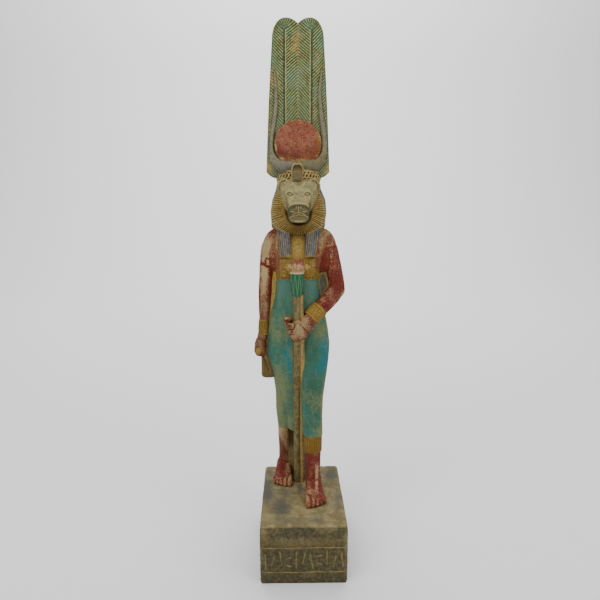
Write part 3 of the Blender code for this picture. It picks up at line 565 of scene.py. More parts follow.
def makeStaff():
    foot, top = np.array(staff["foot"]), np.array(staff["top"])
    length = float(np.linalg.norm(top - foot))
    neck, tall, wide, thin = length - staff["flower"], staff["flower"], staff["flowerRadius"], staff["radius"]
    profile = [(0.0, length - 0.5), (wide * 0.80, length - 0.3), (wide * 0.96, length), (wide * 1.0, length - 1.0),
               (wide * 0.93, length - 3.6), (wide * 0.96, length - tall * 0.5), (wide * 0.86, length - tall * 0.8),
               (thin * 1.06, neck), (thin * 0.86, neck - 3.0), (thin * 0.9, neck - 14), (thin * 0.97, neck * 0.6),
               (thin * 1.03, 0.0)]
    # the profile is drawn as extruded points and spun round the shaft
    deselectAll()
    bpy.ops.mesh.primitive_plane_add(size=1, location=(0, 0, 0))
    piece = bpy.context.object
    bpy.ops.object.mode_set(mode="EDIT")
    bpy.ops.mesh.select_all(action="SELECT")
    bpy.ops.mesh.merge(type="CENTER")
    for (ar, az), (br, bz) in zip(profile, profile[1:]):
        steps = max(1, int(abs(bz - az) / 1.2))
        for _ in range(steps):
            bpy.ops.mesh.extrude_region_move(TRANSFORM_OT_translate={
                "value": ((br - ar) / steps * 0.001, 0, (bz - az) / steps * 0.001)})
    bpy.ops.mesh.select_all(action="SELECT")
    bpy.ops.transform.translate(value=(0, 0, profile[0][1] * 0.001))
    bpy.ops.mesh.spin(steps=96, angle=2 * math.pi, center=(0, 0, 0), axis=(0, 0, 1))
    bpy.ops.mesh.select_all(action="SELECT")
    bpy.ops.mesh.remove_doubles(threshold=0.00002)
    bpy.ops.mesh.select_all(action="DESELECT")
    bpy.ops.mesh.select_non_manifold()
    bpy.ops.mesh.edge_face_add()
    bpy.ops.object.mode_set(mode="OBJECT")
    points = getPoints(piece)
    turn = np.arctan2(points[:, 1], points[:, 0])
    level = points[:, 2] * 1000
    # pointed leaves round the flower, cut as shallow lines
    onFlower = smooth(level, neck - 0.5, neck + 2) * (1 - smooth(level, length - 2.2, length - 1.2))
    share = np.clip((level - neck) / tall, 0, 1)
    phase = (turn * staff["leaves"] / (2 * math.pi)) % 1.0
    edge = np.abs(np.abs(phase - 0.5) - 0.5 * (1 - share * 0.92)) * wide * 2 * math.pi / staff["leaves"]
    cut = np.exp(-(edge / 0.35) ** 2) * onFlower
    rings = sum(np.exp(-((level - neck + drop) / 0.35) ** 2) for drop in staff["ringDrops"])
    radius = np.hypot(points[:, 0], points[:, 1])
    shrink = 1 - (0.28 * cut + 0.25 * rings) * 0.001 / np.maximum(radius, 0.001)
    points[:, 0] *= shrink
    points[:, 1] *= shrink
    lean = Vector(top - foot).to_track_quat("Z", "Y").to_matrix()
    points = points @ np.array(lean).T + toWorld(foot)
    setPoints(piece, points)
    piece.name = piece.data.name = "papyrusStaff"
    finishShape(piece)
    addMark(piece, "along", level / length)
    addMark(piece, "leafLine", cut)
    addMark(piece, "flower", level - neck)
    fin = fuse("staffFin", [addColumn(column) for column in staff["fin"]])
    return [piece, fin]


head = {
    "face": [
        (-4.0, 0.2, 278.0, 18.6, 15.0, 3.0), (-12.0, 0.4, 282.0, 17.8, 10.4, 2.6),
        (-16.5, 0.4, 281.5, 15.8, 10.2, 2.4), (-19.5, 0.4, 278.0, 13.6, 11.4, 2.3),
        (-22.0, 0.4, 273.5, 11.8, 10.6, 2.3), (-25.5, 0.4, 265.6, 10.2, 10.6, 2.6),
        (-29.5, 0.4, 262.2, 9.7, 9.8, 3.0), (-33.0, 0.4, 261.7, 9.4, 9.2, 3.4), (-34.6, 0.4, 261.6, 8.5, 8.3, 3.4)],
    "cheek": [(15.2, -13.0, 285.0, 3.6), (13.9, -17.2, 279.0, 3.8), (11.8, -20.6, 273.0, 3.8),
        (9.4, -23.6, 267.5, 3.4), (7.4, -27.0, 262.0, 2.6)],
    "middle": 0.4,
    "skull": ((0, -2.0, 275.0), (18.8, 16.0, 17.6)),
    "nose": ((0.4, -31.6, 267.6), (6.4, 3.2, 2.2)),
    "chin": ((0.4, -31.4, 255.6), (6.4, 3.4, 3.2)),
    # these stand on both sides, each (place from the middle, radii)
    "brow": ((7.9, -18.6, 281.2), (4.8, 2.6, 1.5)),
    "pad": ((4.4, -31.8, 261.0), (4.9, 4.2, 4.6)),
    "eyeball": ((7.9, -20.0, 277.8), (2.7, 1.9, 1.4)),
    # cut lines of the face seen from the front, each (points, width, depth)
    "lines": [
        ([(-8.2, 267.6), (-5.4, 269.4), (0.4, 270.0), (6.2, 269.4), (9.0, 267.6)], 0.40, 0.45),
        ([(-1.9, 267.0), (-1.7, 265.2)], 0.28, 0.30), ([(2.3, 267.0), (2.1, 265.2)], 0.28, 0.30),
        ([(0.2, 266.6), (0.2, 261.6)], 0.30, 0.40),
        ([(-5.6, 259.0), (-3.4, 260.4), (0.2, 262.0), (3.8, 260.6), (6.2, 259.6)], 0.32, 0.45),
        ([(-7.6, 257.4), (-5.0, 258.4), (-1.6, 259.0), (0.2, 260.2), (2.2, 259.2), (5.8, 258.8), (8.6, 257.8)],
         0.32, 0.50),
        ([(-7.0, 262.6), (-3.2, 262.2)], 0.30, 0.25), ([(7.6, 262.8), (3.8, 262.4)], 0.30, 0.25),
        ([(-5.2, 275.6), (-6.4, 273.0), (-8.0, 270.6)], 0.75, 0.30), ([(6.2, 275.4), (6.6, 272.4)], 0.75, 0.30),
        ([(-1.6, 281.0), (-2.6, 285.0), (-5.6, 288.4)], 0.5, 0.18),
        ([(2.4, 281.0), (3.4, 285.0), (6.4, 288.4)], 0.5, 0.18),
        ([(-10.6, 279.6), (-8.0, 281.0), (-5.0, 280.0)], 0.45, 0.22),
        ([(11.2, 279.8), (8.8, 281.2), (5.8, 280.2)], 0.45, 0.22),
        ([(-3.0, 254.4), (0.4, 253.6), (3.8, 254.4)], 0.5, 0.25),
    ],
    "eye": (0.45, 7.9, 277.8, 2.3, 1.10),
    "earPlace": (0.7, 13.1, 285.9),
    "ear": [(4.6, 280.6), (5.6, 285.0), (3.8, 289.4), (0.0, 291.2), (-3.6, 289.2), (-5.2, 285.2)],
}


def makeHead():
    def place(side, x, y, z):
        return head["middle"] + side * x, y, z

    forms = [addBall(*head["skull"], 48), addColumn(head["face"], facing=True, count=56), addBall(*head["nose"])]
    middle, out, level = head["earPlace"]
    for side in (-1, 1):
        for key in ("brow", "pad"):
            forms.append(addBall(place(side, *head[key][0]), head[key][1]))
        forms.append(addLimb([place(side, x, y, z) + (radius,) for x, y, z, radius in head["cheek"]], 20))
        forms.append(addBall(place(side, *head["eyeball"][0]), head["eyeball"][1]))
        # the rim of the ear, and a smaller rim inside it
        forms.append(addLimb([(middle + side * (out + x), -16.6, z, 1.0) for x, z in head["ear"]], 12))
        forms.append(addLimb([(middle + side * (out + x * 0.45), -16.4, level + (z - level) * 0.5, 0.6)
                              for x, z in head["ear"]], 12))
    forms.append(addBall(*head["chin"]))
    piece = fuse("lionessHead", forms)
    local = toLocal(getPoints(piece))
    front = smooth(-getNormals(piece)[:, 1], 0.10, 0.4) * (local[:, 1] < -12)
    depth = np.zeros(len(local))
    lines = np.zeros(len(local))
    for path, wide, deep in head["lines"]:
        cut = np.exp(-(strokeDistance(local[:, 0], local[:, 2], path) / wide) ** 2) * front
        depth += deep * cut
        lines = np.maximum(lines, cut)
    # almond eyes: a cut rim round a smooth ball
    middle, out, ez, ew, eh = head["eye"]
    rims = np.zeros(len(local))
    for side in (-1, 1):
        u, v = (local[:, 0] - middle - side * out) * side, local[:, 2] - ez
        off = np.hypot(u / ew, (v - 0.10 * u) / (eh * np.sqrt(np.clip(1 - (u / ew * 0.8) ** 2, 0.15, 1))))
        rim = np.exp(-((off - 1.05) / 0.28) ** 2) * front
        rims = np.maximum(rims, rim)
        depth += 0.55 * rim - front * 0.22 * np.exp(-((off - 1.9) / 0.3) ** 2)
        # the hollow of the ear
        inner = np.hypot((local[:, 0] - head["earPlace"][0] - side * out * 1.66) / 2.2, (local[:, 2] - 285.6) / 2.8)
        depth += 0.5 * np.exp(-inner ** 4) * (local[:, 1] < -8)
    carve(piece, depth)
    addMark(piece, "paleLine", lines)
    addMark(piece, "eyeRim", rims)
    return piece


mane = {
    "pitch": 1.85,
    "outer": (0.3, 257.0, 25.3, 35.0, 17.2),
    "inner": (0.4, 262.0, 9.0, 18.0, 10.0),
}


def makeMane():
    deselectAll()
    bpy.ops.mesh.primitive_torus_add(major_segments=900, minor_segments=44, major_radius=1, minor_radius=0.25,
        location=(0, 0, 0))
    piece = bpy.context.object
    points = getPoints(piece)
    turn = np.arctan2(points[:, 1], points[:, 0])
    small = np.arctan2(points[:, 2], np.hypot(points[:, 0], points[:, 1]) - 1)
    out, forward = swell(small, 2.3)
    share = (out + 1) / 2
    cosine, sine = swell(turn, 2.15)
    rings = []
    for cx, cz, wide, high, low in (mane["inner"], mane["outer"]):
        rings.append((cx + wide * cosine, cz + np.where(sine > 0, high, low) * sine))
    x = rings[0][0] * (1 - share) + rings[1][0] * share
    z = rings[0][1] * (1 - share) + rings[1][1] * share
    # the locks: a dark groove between each two, fading out at the inner band
    below = np.abs((turn + math.pi / 2 + math.pi) % (2 * math.pi) - math.pi)
    steps = np.linspace(0, math.pi, 720)
    stepOut, stepUp = swell(steps - math.pi / 2, 2.15)
    rim = np.stack((mane["outer"][2] * stepOut, np.where(stepUp > 0, mane["outer"][3], mane["outer"][4]) * stepUp),
        axis=1) * 0.88
    lengths = np.concatenate(([0], np.cumsum(np.linalg.norm(np.diff(rim, axis=0), axis=1))))
    along = np.interp(below, steps, lengths) + 0.25 * np.sin(turn * 9 + 1.3) + 0.12 * np.sin(turn * 31)
    groove = (0.5 + 0.5 * np.cos(along * 2 * math.pi / mane["pitch"])) ** 1.3
    onFront = smooth(forward, 0.05, 0.4) * smooth(share, 0.16, 0.42) * (1 - 0.4 * smooth(share, 0.95, 1.0))
    front = np.interp(share, [0, 0.12, 0.3, 0.55, 0.8, 0.94, 1], [-26.0, -26.6, -25.8, -22.4, -17.2, -13.6, -11.0])
    front = front + 13.0 * smooth(np.sin(turn), 0.50, 0.86) + 1.2 * smooth(-np.sin(turn), 0.5, 1.0) * share
    front = (front + 5.0 * (1 - share) ** 2 * smooth(np.sin(turn), 0.0, 0.5)
             - 6.0 * (1 - share) * smooth(-np.sin(turn), -0.1, 0.6))
    back = -5.0
    y = (front + back) / 2 + (front - back) / 2 * forward + 1.0 * groove * onFront
    setPoints(piece, toWorld(np.stack((x, y, z), axis=1)))
    piece.name = piece.data.name = "maneRuff"
    finishShape(piece)
    addMark(piece, "groove", groove * onFront)
    addMark(piece, "outward", share)
    return piece


wig = {
    "back": [(222, 0, 9.5, 17.0, 6.5, 2.6), (238, 0, 8.5, 20.0, 8.5, 2.5), (248, 0.4, 5.5, 25.4, 12.0, 2.3),
             (262, 0.6, 3.0, 26.4, 14.6, 2.3), (273, 1.0, 2.6, 25.0, 14.4, 2.3), (282, 0.7, 2.2, 21.4, 14.0, 2.2),
             (292, 0, 1.5, 18.8, 13.0, 2.2)],
    "leftLappet": [(221.4, -11.8, -13.4, 5.2, 3.4, 5), (232, -12.3, -13.4, 5.5, 3.8, 5),
                   (244, -13.2, -12.6, 5.9, 4.2, 4), (256, -15.4, -8.0, 7.0, 6.0, 3)],
    "rightLappet": [(221.4, 11.1, -13.4, 5.2, 3.4, 5), (232, 12.2, -13.4, 5.9, 3.8, 5),
                    (244, 13.8, -12.6, 7.0, 4.2, 4), (256, 16.2, -8.0, 7.2, 6.0, 3)],
    "strand": 1.9,
}


def makeWig():
    forms = [addColumn(wig[key]) for key in ("back", "leftLappet", "rightLappet")]
    piece = fuse("stripedWig", forms)
    local = toLocal(getPoints(piece))
    x, y, z = local[:, 0], local[:, 1], local[:, 2]
    # strands run down the lappets, and round the back of the head as a fan of lines
    lean = np.abs(x) - (z - 222) * 0.085
    onLappet = (y < -4) * smooth(z, 221.8, 222.4)
    strandsFront = 0.5 + 0.5 * np.cos(lean * 2 * math.pi / wig["strand"])
    strandsBack = 0.5 + 0.5 * np.cos(np.arctan2(x, y - 2) * 54)
    groove = np.where(y < -4, strandsFront * onLappet, strandsBack)
    carve(piece, 0.30 * groove)
    addMark(piece, "groove", groove)
    return piece


crown = {
    "discRadius": 21.2,
    "discCentre": 322.6,
    "plumeFront": -8.0,
    "leftHorn": [
        (2.0, -10.5, 302.4, 5.2), (-8.0, -11.0, 302.2, 5.7), (-14.6, -11.0, 302.6, 5.7), (-19.6, -10.4, 306.0, 4.6),
        (-22.9, -9.8, 311.5, 3.0), (-24.2, -9.3, 318.0, 2.0), (-23.5, -9.0, 329.0, 1.8), (-21.4, -8.9, 343.0, 1.9),
        (-20.0, -8.8, 355.0, 1.8), (-19.6, -8.6, 365.5, 1.6), (-20.0, -8.5, 376.0, 1.3), (-20.8, -8.4, 386.0, 0.7)],
    "rightHorn": [
        (-2.0, -10.5, 302.4, 5.2), (8.0, -11.0, 303.0, 5.6), (14.4, -11.0, 303.8, 5.5), (19.2, -10.4, 306.6, 4.6),
        (22.4, -9.8, 311.6, 3.3), (24.0, -9.4, 319.0, 2.4), (23.4, -9.1, 331.0, 2.3), (21.8, -8.9, 343.0, 2.2),
        (20.2, -8.8, 355.0, 1.8), (19.4, -8.6, 366.0, 1.5), (20.2, -8.5, 378.0, 1.2), (21.4, -8.4, 388.5, 0.7)],
    "cobra": [
        (289.4, -0.9, -18.8, 3.6, 2.6, 3), (290.6, -0.9, -19.8, 4.1, 3.0, 3), (296.0, -0.8, -21.2, 4.4, 3.3, 3),
        (300.0, -0.7, -21.6, 4.4, 3.3, 3), (302.4, -0.7, -21.6, 3.7, 3.0, 2.8), (303.8, -0.7, -21.4, 2.2, 2.2, 2.2)],
    "halo": [
        (290.0, -0.9, -17.4, 4.6, 2.6, 3), (296.0, -0.8, -18.9, 5.6, 2.8, 3), (300.4, -0.7, -19.4, 5.6, 2.8, 3),
        (303.4, -0.7, -19.4, 4.7, 2.6, 2.8), (305.2, -0.7, -19.2, 2.8, 2.0, 2.2)],
    "capCentre": (0.6, -2.0),
    "capRadius": (20.9, 16.6),
    "capLevels": (289.6, 300.0),
    "capDip": 3.2,
    "twists": 17,
    "strandLevel": 294.7,
    "strandWave": 2.1,
    "strandSwing": 0.35,
    "strandRadius": 0.85,
    "cords": ((290.9, 0.75), (298.4, 0.8)),
    "discThick": 0.0075,
    "discRounding": 0.0012,
    "discRings": 22,
}


def makeCrown():
    # the disc: a low drum whose face is inset, raised a little in the middle and rounded at its rim
    deselectAll()
    centre = toWorld((0, crown["plumeFront"] - 0.75, crown["discCentre"]))
    bpy.ops.mesh.primitive_cylinder_add(vertices=128, radius=crown["discRadius"] * 0.001, depth=crown["discThick"],
        location=tuple(centre), rotation=(math.pi / 2, 0, 0))
    disc = bpy.context.object
    bpy.ops.object.transform_apply(location=True, rotation=True, scale=True)
    bpy.ops.object.mode_set(mode="EDIT")
    bpy.ops.mesh.select_mode(type="FACE")
    bpy.ops.mesh.select_all(action="DESELECT")
    bpy.ops.object.mode_set(mode="OBJECT")
    for face in disc.data.polygons:
        face.select = face.normal.y < -0.9
    bpy.ops.object.mode_set(mode="EDIT")
    bpy.ops.mesh.bevel(offset=crown["discRounding"], segments=4)
    bpy.ops.object.mode_set(mode="OBJECT")
    for face in disc.data.polygons:
        face.select = face.normal.y < -0.9 and face.area > 0.0001
    bpy.ops.object.mode_set(mode="EDIT")
    for _ in range(crown["discRings"]):
        bpy.ops.mesh.inset(thickness=0.0009, depth=0)
    bpy.ops.object.mode_set(mode="OBJECT")
    points = getPoints(disc)
    off = np.hypot(points[:, 0] - centre[0], points[:, 2] - centre[2]) * 1000
    face = points[:, 1] < centre[1] - 0.0030
    points[:, 1] -= face * 0.0012 * (1 - (off / crown["discRadius"]) ** 2)
    setPoints(disc, points)
    disc.name = disc.data.name = "sunDisc"
    finishShape(disc)
    addMark(disc, "rim", off)
    horns = fuse("cowHorns", [addLimb(crown[key], 28, 10) for key in ("leftHorn", "rightHorn")])
    # the cap is a drum with a twisted cord of crossing strands carved round it
    wide, deep = crown["capRadius"]
    cx, cy = crown["capCentre"]
    forms = [addColumn([(level, cx, cy, wide * 0.92, deep * 0.92, 2) for level in crown["capLevels"]], count=96)]
    steps = crown["twists"] * 4
    for phase in (0, math.pi):
        path = []
        for i in range(steps):
            turn = 2 * math.pi * i / steps
            wave = crown["strandWave"] * math.sin(i * math.pi / 2 + phase)
            swing = crown["strandSwing"] * math.cos(i * math.pi / 2 + phase)
            path.append((cx + (wide * 0.94 + swing) * math.cos(turn), cy + (deep * 0.94 + swing) * math.sin(turn),
                         crown["strandLevel"] + wave, crown["strandRadius"]))
        forms.append(addLimb(path + path[:1], 12, 4))
    for level, radius in crown["cords"]:
        turns = [k * math.pi / 16 for k in range(33)]
        forms.append(addLimb([(cx + wide * 0.93 * math.cos(turn), cy + deep * 0.93 * math.sin(turn), level, radius)
                              for turn in turns], 12, 3))
    for form in forms:
        # the cap dips a little towards the sides
        points = getPoints(form)
        points[:, 2] -= crown["capDip"] * (points[:, 0] - figure["axisX"]) ** 2
        setPoints(form, points)
    cap = fuse("twistedCap", forms)
    cobra = fuse("browCobra", [addColumn(crown["cobra"], count=48)])
    local = toLocal(getPoints(cobra))
    hood = np.hypot((local[:, 0] + 0.7) / 3.3, (local[:, 2] - 296.6) / 5.6)
    carve(cobra, (local[:, 1] < -21.5) * 0.45 * (1 - smooth(hood, 0.75, 1.05)))
    halo = fuse("cobraHalo", [addColumn(crown["halo"], count=48)])
    return [disc, horns, cap, cobra, halo]


plume = {
    "height": 138.5,
    "foot": 58.0,
    "top": 43.6,
    "bulge": 0.7,
    "tipRise": 19.0,
    "notch": 4.8,
    "footRise": 3.4,
    "front": -8.0,
    "thick": 15.0,
    "shaft": 12.2,
    "shaftEnd": 128.0,
    "gap": 2.0,
    "level": 293.0,
    "rounding": 1.6,
    "barbWidth": 0.17,
    "barbDepth": 0.42,
    "shaftDepth": 0.45,
    # how steeply the barbs rise outside and inside each shaft: (levels, rises)
    "outerRise": ([20, 90], [1.15, 1.0]),
    "innerRise": ([40, 110], [1.42, 0.80]),
    "rows": 340,
    "columns": 140,
}


def plumeHalfWidth(height):
    share = np.clip(height / plume["height"], 0, 1)
    return (plume["foot"] * (1 - share) + plume["top"] * share) / 2 + plume["bulge"] * 4 * share * (1 - share)


def makePlumes():
    # a grid is extruded into a slab, and its rows are then laid between the foot and the tips
    deselectAll()
    bpy.ops.mesh.primitive_grid_add(x_subdivisions=plume["columns"], y_subdivisions=plume["rows"], size=2,
        location=(0, 0, 0))
    piece = bpy.context.object
    bpy.ops.object.mode_set(mode="EDIT")
    bpy.ops.mesh.select_all(action="SELECT")
    bpy.ops.mesh.extrude_region_move(TRANSFORM_OT_translate={"value": (0, 0, 1)})
    bpy.ops.object.mode_set(mode="OBJECT")
    points = getPoints(piece)
    u, t, isFront = points[:, 0], (points[:, 1] + 1) / 2, points[:, 2] > 0.5
    side = np.sign(u) * (1 - (1 - np.abs(u)) ** 1.25)
    shoulder = plume["height"] - plume["tipRise"]
    peak = plumeHalfWidth(np.array(plume["height"])) / 2
    wide = plumeHalfWidth(np.array(shoulder))
    across = np.abs(side)
    x0 = across * wide
    beyond = np.clip((x0 - peak) / (wide - peak), 0, 1)
    inner = np.clip(1 - x0 / peak, 0, 1)
    crest = np.where(x0 > peak, shoulder + plume["tipRise"] * (1 - beyond ** 2.1) ** (1 / 2.1),
                     plume["height"] - plume["notch"] * inner ** 2.2)
    footShare = np.clip((across - 0.62) / 0.38, 0, 1)
    base = plume["footRise"] * 1.5 * footShare ** 2.6
    z = base + (crest - base) * t
    low = np.minimum(z, shoulder)
    x = side * (plumeHalfWidth(low) * (1 - smooth(z, shoulder, shoulder + 1))
        + wide * smooth(z, shoulder, shoulder + 1))
    # how far inside the outline each point lies, for the rounded edges
    inset = np.minimum(np.minimum((1 - across) * wide, (crest - z) * 0.9), z - base + 0.001)
    curve = 1 - np.clip(inset / plume["rounding"], 0, 1)
    roundness = plume["rounding"] * (1 - np.sqrt(np.clip(1 - curve ** 2, 0, 1)))
    # barbs rise from each shaft to both sides, flatter high up and steeper near the foot, and fan out at the tips
    off = np.abs(x) - plume["shaft"]
    reach = np.abs(off)
    shaken = 0.30 * softNoise(np.stack((x, z, np.where(x > 0, 40.0, 0.0)), axis=1) * 0.001, 0.006, 7)
    ladder = np.linspace(-60, 160, 441)
    saw = np.zeros(len(x))
    for here, key in ((off >= 0, "outerRise"), (off < 0, "innerRise")):
        steep = np.interp(ladder, *plume[key])
        steps = np.concatenate(([0], np.cumsum(np.diff(ladder) / (plume["gap"] * np.sqrt(1 + steep[1:] ** 2)))))
        start = z - reach * np.interp(z, ladder, steep)
        saw = np.where(here, np.interp(start + shaken, ladder, steps), saw)
    over = z - plume["shaftEnd"]
    fan = over > reach * 0.9
    saw = np.where(fan, np.arctan2(reach, np.maximum(over, 0.01)) / 0.84 * 3.5, saw)
    saw = saw - np.floor(saw)
    ridge = np.exp(-((saw - 0.5) / plume["barbWidth"]) ** 2)
    shaftRib = np.exp(-(off / 0.95) ** 4) * (1 - smooth(z, plume["shaftEnd"] - 1, plume["shaftEnd"] + 1))
    midLine = np.exp(-(x / 0.45) ** 2)
    edgeFade = smooth(inset, 0.3, 1.3)
    barb = ridge * (1 - shaftRib) * edgeFade
    relief = plume["barbDepth"] * barb + plume["shaftDepth"] * shaftRib * edgeFade - 0.5 * midLine
    front = plume["front"] - relief + roundness
    backRelief = 0.22 * barb + 0.4 * shaftRib * edgeFade
    back = plume["front"] + plume["thick"] + backRelief - roundness
    y = np.where(isFront, front, back)
    setPoints(piece, toWorld(np.stack((x, y, z + plume["level"]), axis=1)))
    piece.name = piece.data.name = "tallPlumes"
    finishShape(piece)
    addMark(piece, "barb", barb)
    addMark(piece, "shaft", shaftRib * edgeFade)
    addMark(piece, "shaftEdge", np.exp(-((off + 1.25) / 0.42) ** 2) * (z < plume["shaftEnd"]) * edgeFade)
    addMark(piece, "midLine", midLine)
    addMark(piece, "inset", inset)
    return piece


plinth = {
    "width": 0.075, "depth": 0.120, "height": 0.053, "edge": 0.0024,
    "registerTop": 0.0335, "registerBottom": 0.0110, "margin": 0.0014, "strokes": 11,
    "strokeWidth": 0.00044, "strokeDepth": 0.62,
}


def plinthStrokes():
    # shallow strokes that are no letters: uprights that lean a little, and pairs of short slanted ones
    low, high = plinth["registerBottom"], plinth["registerTop"]
    tall, wide = high - low, plinth["width"] - 2 * plinth["margin"]
    pitch = wide / plinth["strokes"]
    found = []
    for i in range(plinth["strokes"]):
        x = -wide / 2 + pitch * (i + 0.5)
        middle = (low + high) / 2 + tall * 0.07 * (i % 3 - 1)
        if i % 4 == 3:
            found.append((x, middle + tall * 0.16, pitch * 0.62, 16))
            found.append((x, middle - tall * 0.16, pitch * 0.62, -12))
        else:
            found.append((x, middle, tall * (0.60, 0.42, 0.56)[i % 4], (90, 76, 98)[i % 4]))
    paths = []
    for x, z, length, degrees in found:
        along = np.array((math.cos(math.radians(degrees)), math.sin(math.radians(degrees)))) * length / 2
        paths.append([(x - along[0], z - along[1]), (x + along[0], z + along[1])])
    for level in (low, high):
        paths.append([(-wide / 2, level), (wide / 2, level)])
    return paths


def makePlinth():
    deselectAll()
    bpy.ops.mesh.primitive_cube_add(size=1, location=(0, 0, plinth["height"] / 2),
        scale=(plinth["width"], plinth["depth"], plinth["height"]))
    block = bpy.context.object
    bpy.ops.object.transform_apply(location=True, rotation=True, scale=True)
    bpy.ops.object.mode_set(mode="EDIT")
    bpy.ops.mesh.select_all(action="SELECT")
    bpy.ops.mesh.bevel(offset=plinth["edge"], segments=5)
    bpy.ops.object.mode_set(mode="OBJECT")
    piece = fuse("plinthBlock", [block])
    points = getPoints(piece)
    halfX, halfY, tall = plinth["width"] / 2, plinth["depth"] / 2, plinth["height"]
    # worn edges and small chips
    toEdge = np.sort(np.stack((halfX - np.abs(points[:, 0]), halfY - np.abs(points[:, 1]),
        np.minimum(tall - points[:, 2], points[:, 2] + 0.0006)), axis=1), axis=1)[:, 1]
    chips = smooth(softNoise(points, 0.0062, 5) + 0.5 * softNoise(points, 0.0023, 6), 0.45, 1.1)
    # the top front edge is worn down towards its ends
    frontEdge = np.exp(-((points[:, 1] + halfY) / 0.008) ** 2) * smooth(points[:, 2], tall - 0.006, tall - 0.001)
    depth = np.exp(-(toEdge / 0.0022) ** 2) * (0.25 + 1.25 * chips)
    depth += frontEdge * 0.9 * (points[:, 0] / halfX) ** 2
    depth += 0.5 * (0.5 * softNoise(points, 0.021, 8) + 0.3 * softNoise(points, 0.006, 9))
    depth += 0.10 * softNoise(points, 0.0018, 10) + 0.05 * softNoise(points, 0.0009, 12)
    # the register: two ruled lines and the strokes between them
    face = points[:, 1] < -halfY + 0.0012
    u, v = points[:, 0], points[:, 2]
    wander = 0.00035 * softNoise(points, 0.012, 13)
    cut = np.full(len(points), 1e9)
    for path in plinthStrokes():
        cut = np.minimum(cut, strokeDistance(u, v + wander, path))
    worn = 0.75 + 0.5 * softNoise(points, 0.005, 14)
    groove = np.where(face, np.exp(-(cut / plinth["strokeWidth"]) ** 2) * np.clip(worn, 0.25, 1), 0)
    depth += plinth["strokeDepth"] * groove
    under = points[:, 2] < 0.0006
    depth = np.where(under, 0, depth)
    carve(piece, depth)
    points = getPoints(piece)
    points[under, 2] = 0.0
    setPoints(piece, points)
    addMark(piece, "groove", groove)
    return piece


pillar = {"half": 13.0, "front": 3.0, "back": 21.5, "top": 309.6, "edge": 0.0018}


def makePillar():
    block = addBlock((-pillar["half"], pillar["front"], -2), (pillar["half"], pillar["back"], pillar["top"]))
    bpy.ops.object.mode_set(mode="EDIT")
    bpy.ops.mesh.select_all(action="SELECT")
    bpy.ops.mesh.bevel(offset=pillar["edge"], segments=4)
    bpy.ops.object.mode_set(mode="OBJECT")
    return fuse("backPillar", [block])


# the share of the triangles that each large piece keeps once it is carved and marked
thinning = {
    "sheathDress": 0.60, "advancedLeg": 0.60, "restingLeg": 0.60, "footBand": 0.80, "hangingArm": 0.62,
    "bentArm": 0.60, "bentBracelet": 0.80, "stoneFill": 0.48, "papyrusStaff": 0.80, "staffFin": 0.60,
    "lionessHead": 0.90, "stripedWig": 0.62, "cowHorns": 0.50, "twistedCap": 0.70, "tallPlumes": 0.62,
    "plinthBlock": 0.45, "backPillar": 0.30,
}

print("modelling the pieces")
dressPiece = makeDress()
advancedLeg, restingLeg, footBand = makeLegs()
hangingArm, bentArm, hangingBracelet, bentBracelet = makeArms()
stoneFill, clothEnd, rodEnd = makeFill()
staffPiece, staffFin = makeStaff()
headPiece = makeHead()
manePiece = makeMane()
wigPiece = makeWig()
sunDisc, cowHorns, twistedCap, browCobra, cobraHalo = makeCrown()
plumePiece = makePlumes()
plinthPiece = makePlinth()
pillarPiece = makePillar()
everyPiece = [dressPiece, advancedLeg, restingLeg, footBand, hangingArm, bentArm, hangingBracelet, bentBracelet,
    stoneFill, clothEnd, rodEnd, staffPiece, staffFin, headPiece, manePiece, wigPiece, sunDisc, cowHorns,
    twistedCap, browCobra, cobraHalo, plumePiece, plinthPiece, pillarPiece]
print("roughening and marking creases and edges")
for item in everyPiece:
    if item.name in cutting and cutting[item.name][2]:
        roughen(item)
    markHollows(item)
markContacts(everyPiece)
print("thinning the meshes")
total = 0
for item in everyPiece:
    if item.name in thinning:
        thinOut(item, thinning[item.name])
    pick(item)
    bpy.ops.object.shade_smooth()
    total += countTriangles(item)
    print("  ", item.name, countTriangles(item))
print("triangles in all", total)


def tint(red, green, blue):
    # a colour read off, 0 to 255
    return tuple((c / 255 / 12.92 if c <= 10 else ((c / 255 + 0.055) / 1.055) ** 2.4)
        for c in (red, green, blue)) + (1,)


def newTree(name):
    material = bpy.data.materials.new(name)
    material.use_nodes = True
    return material, material.node_tree, material.node_tree.nodes["Principled BSDF"]


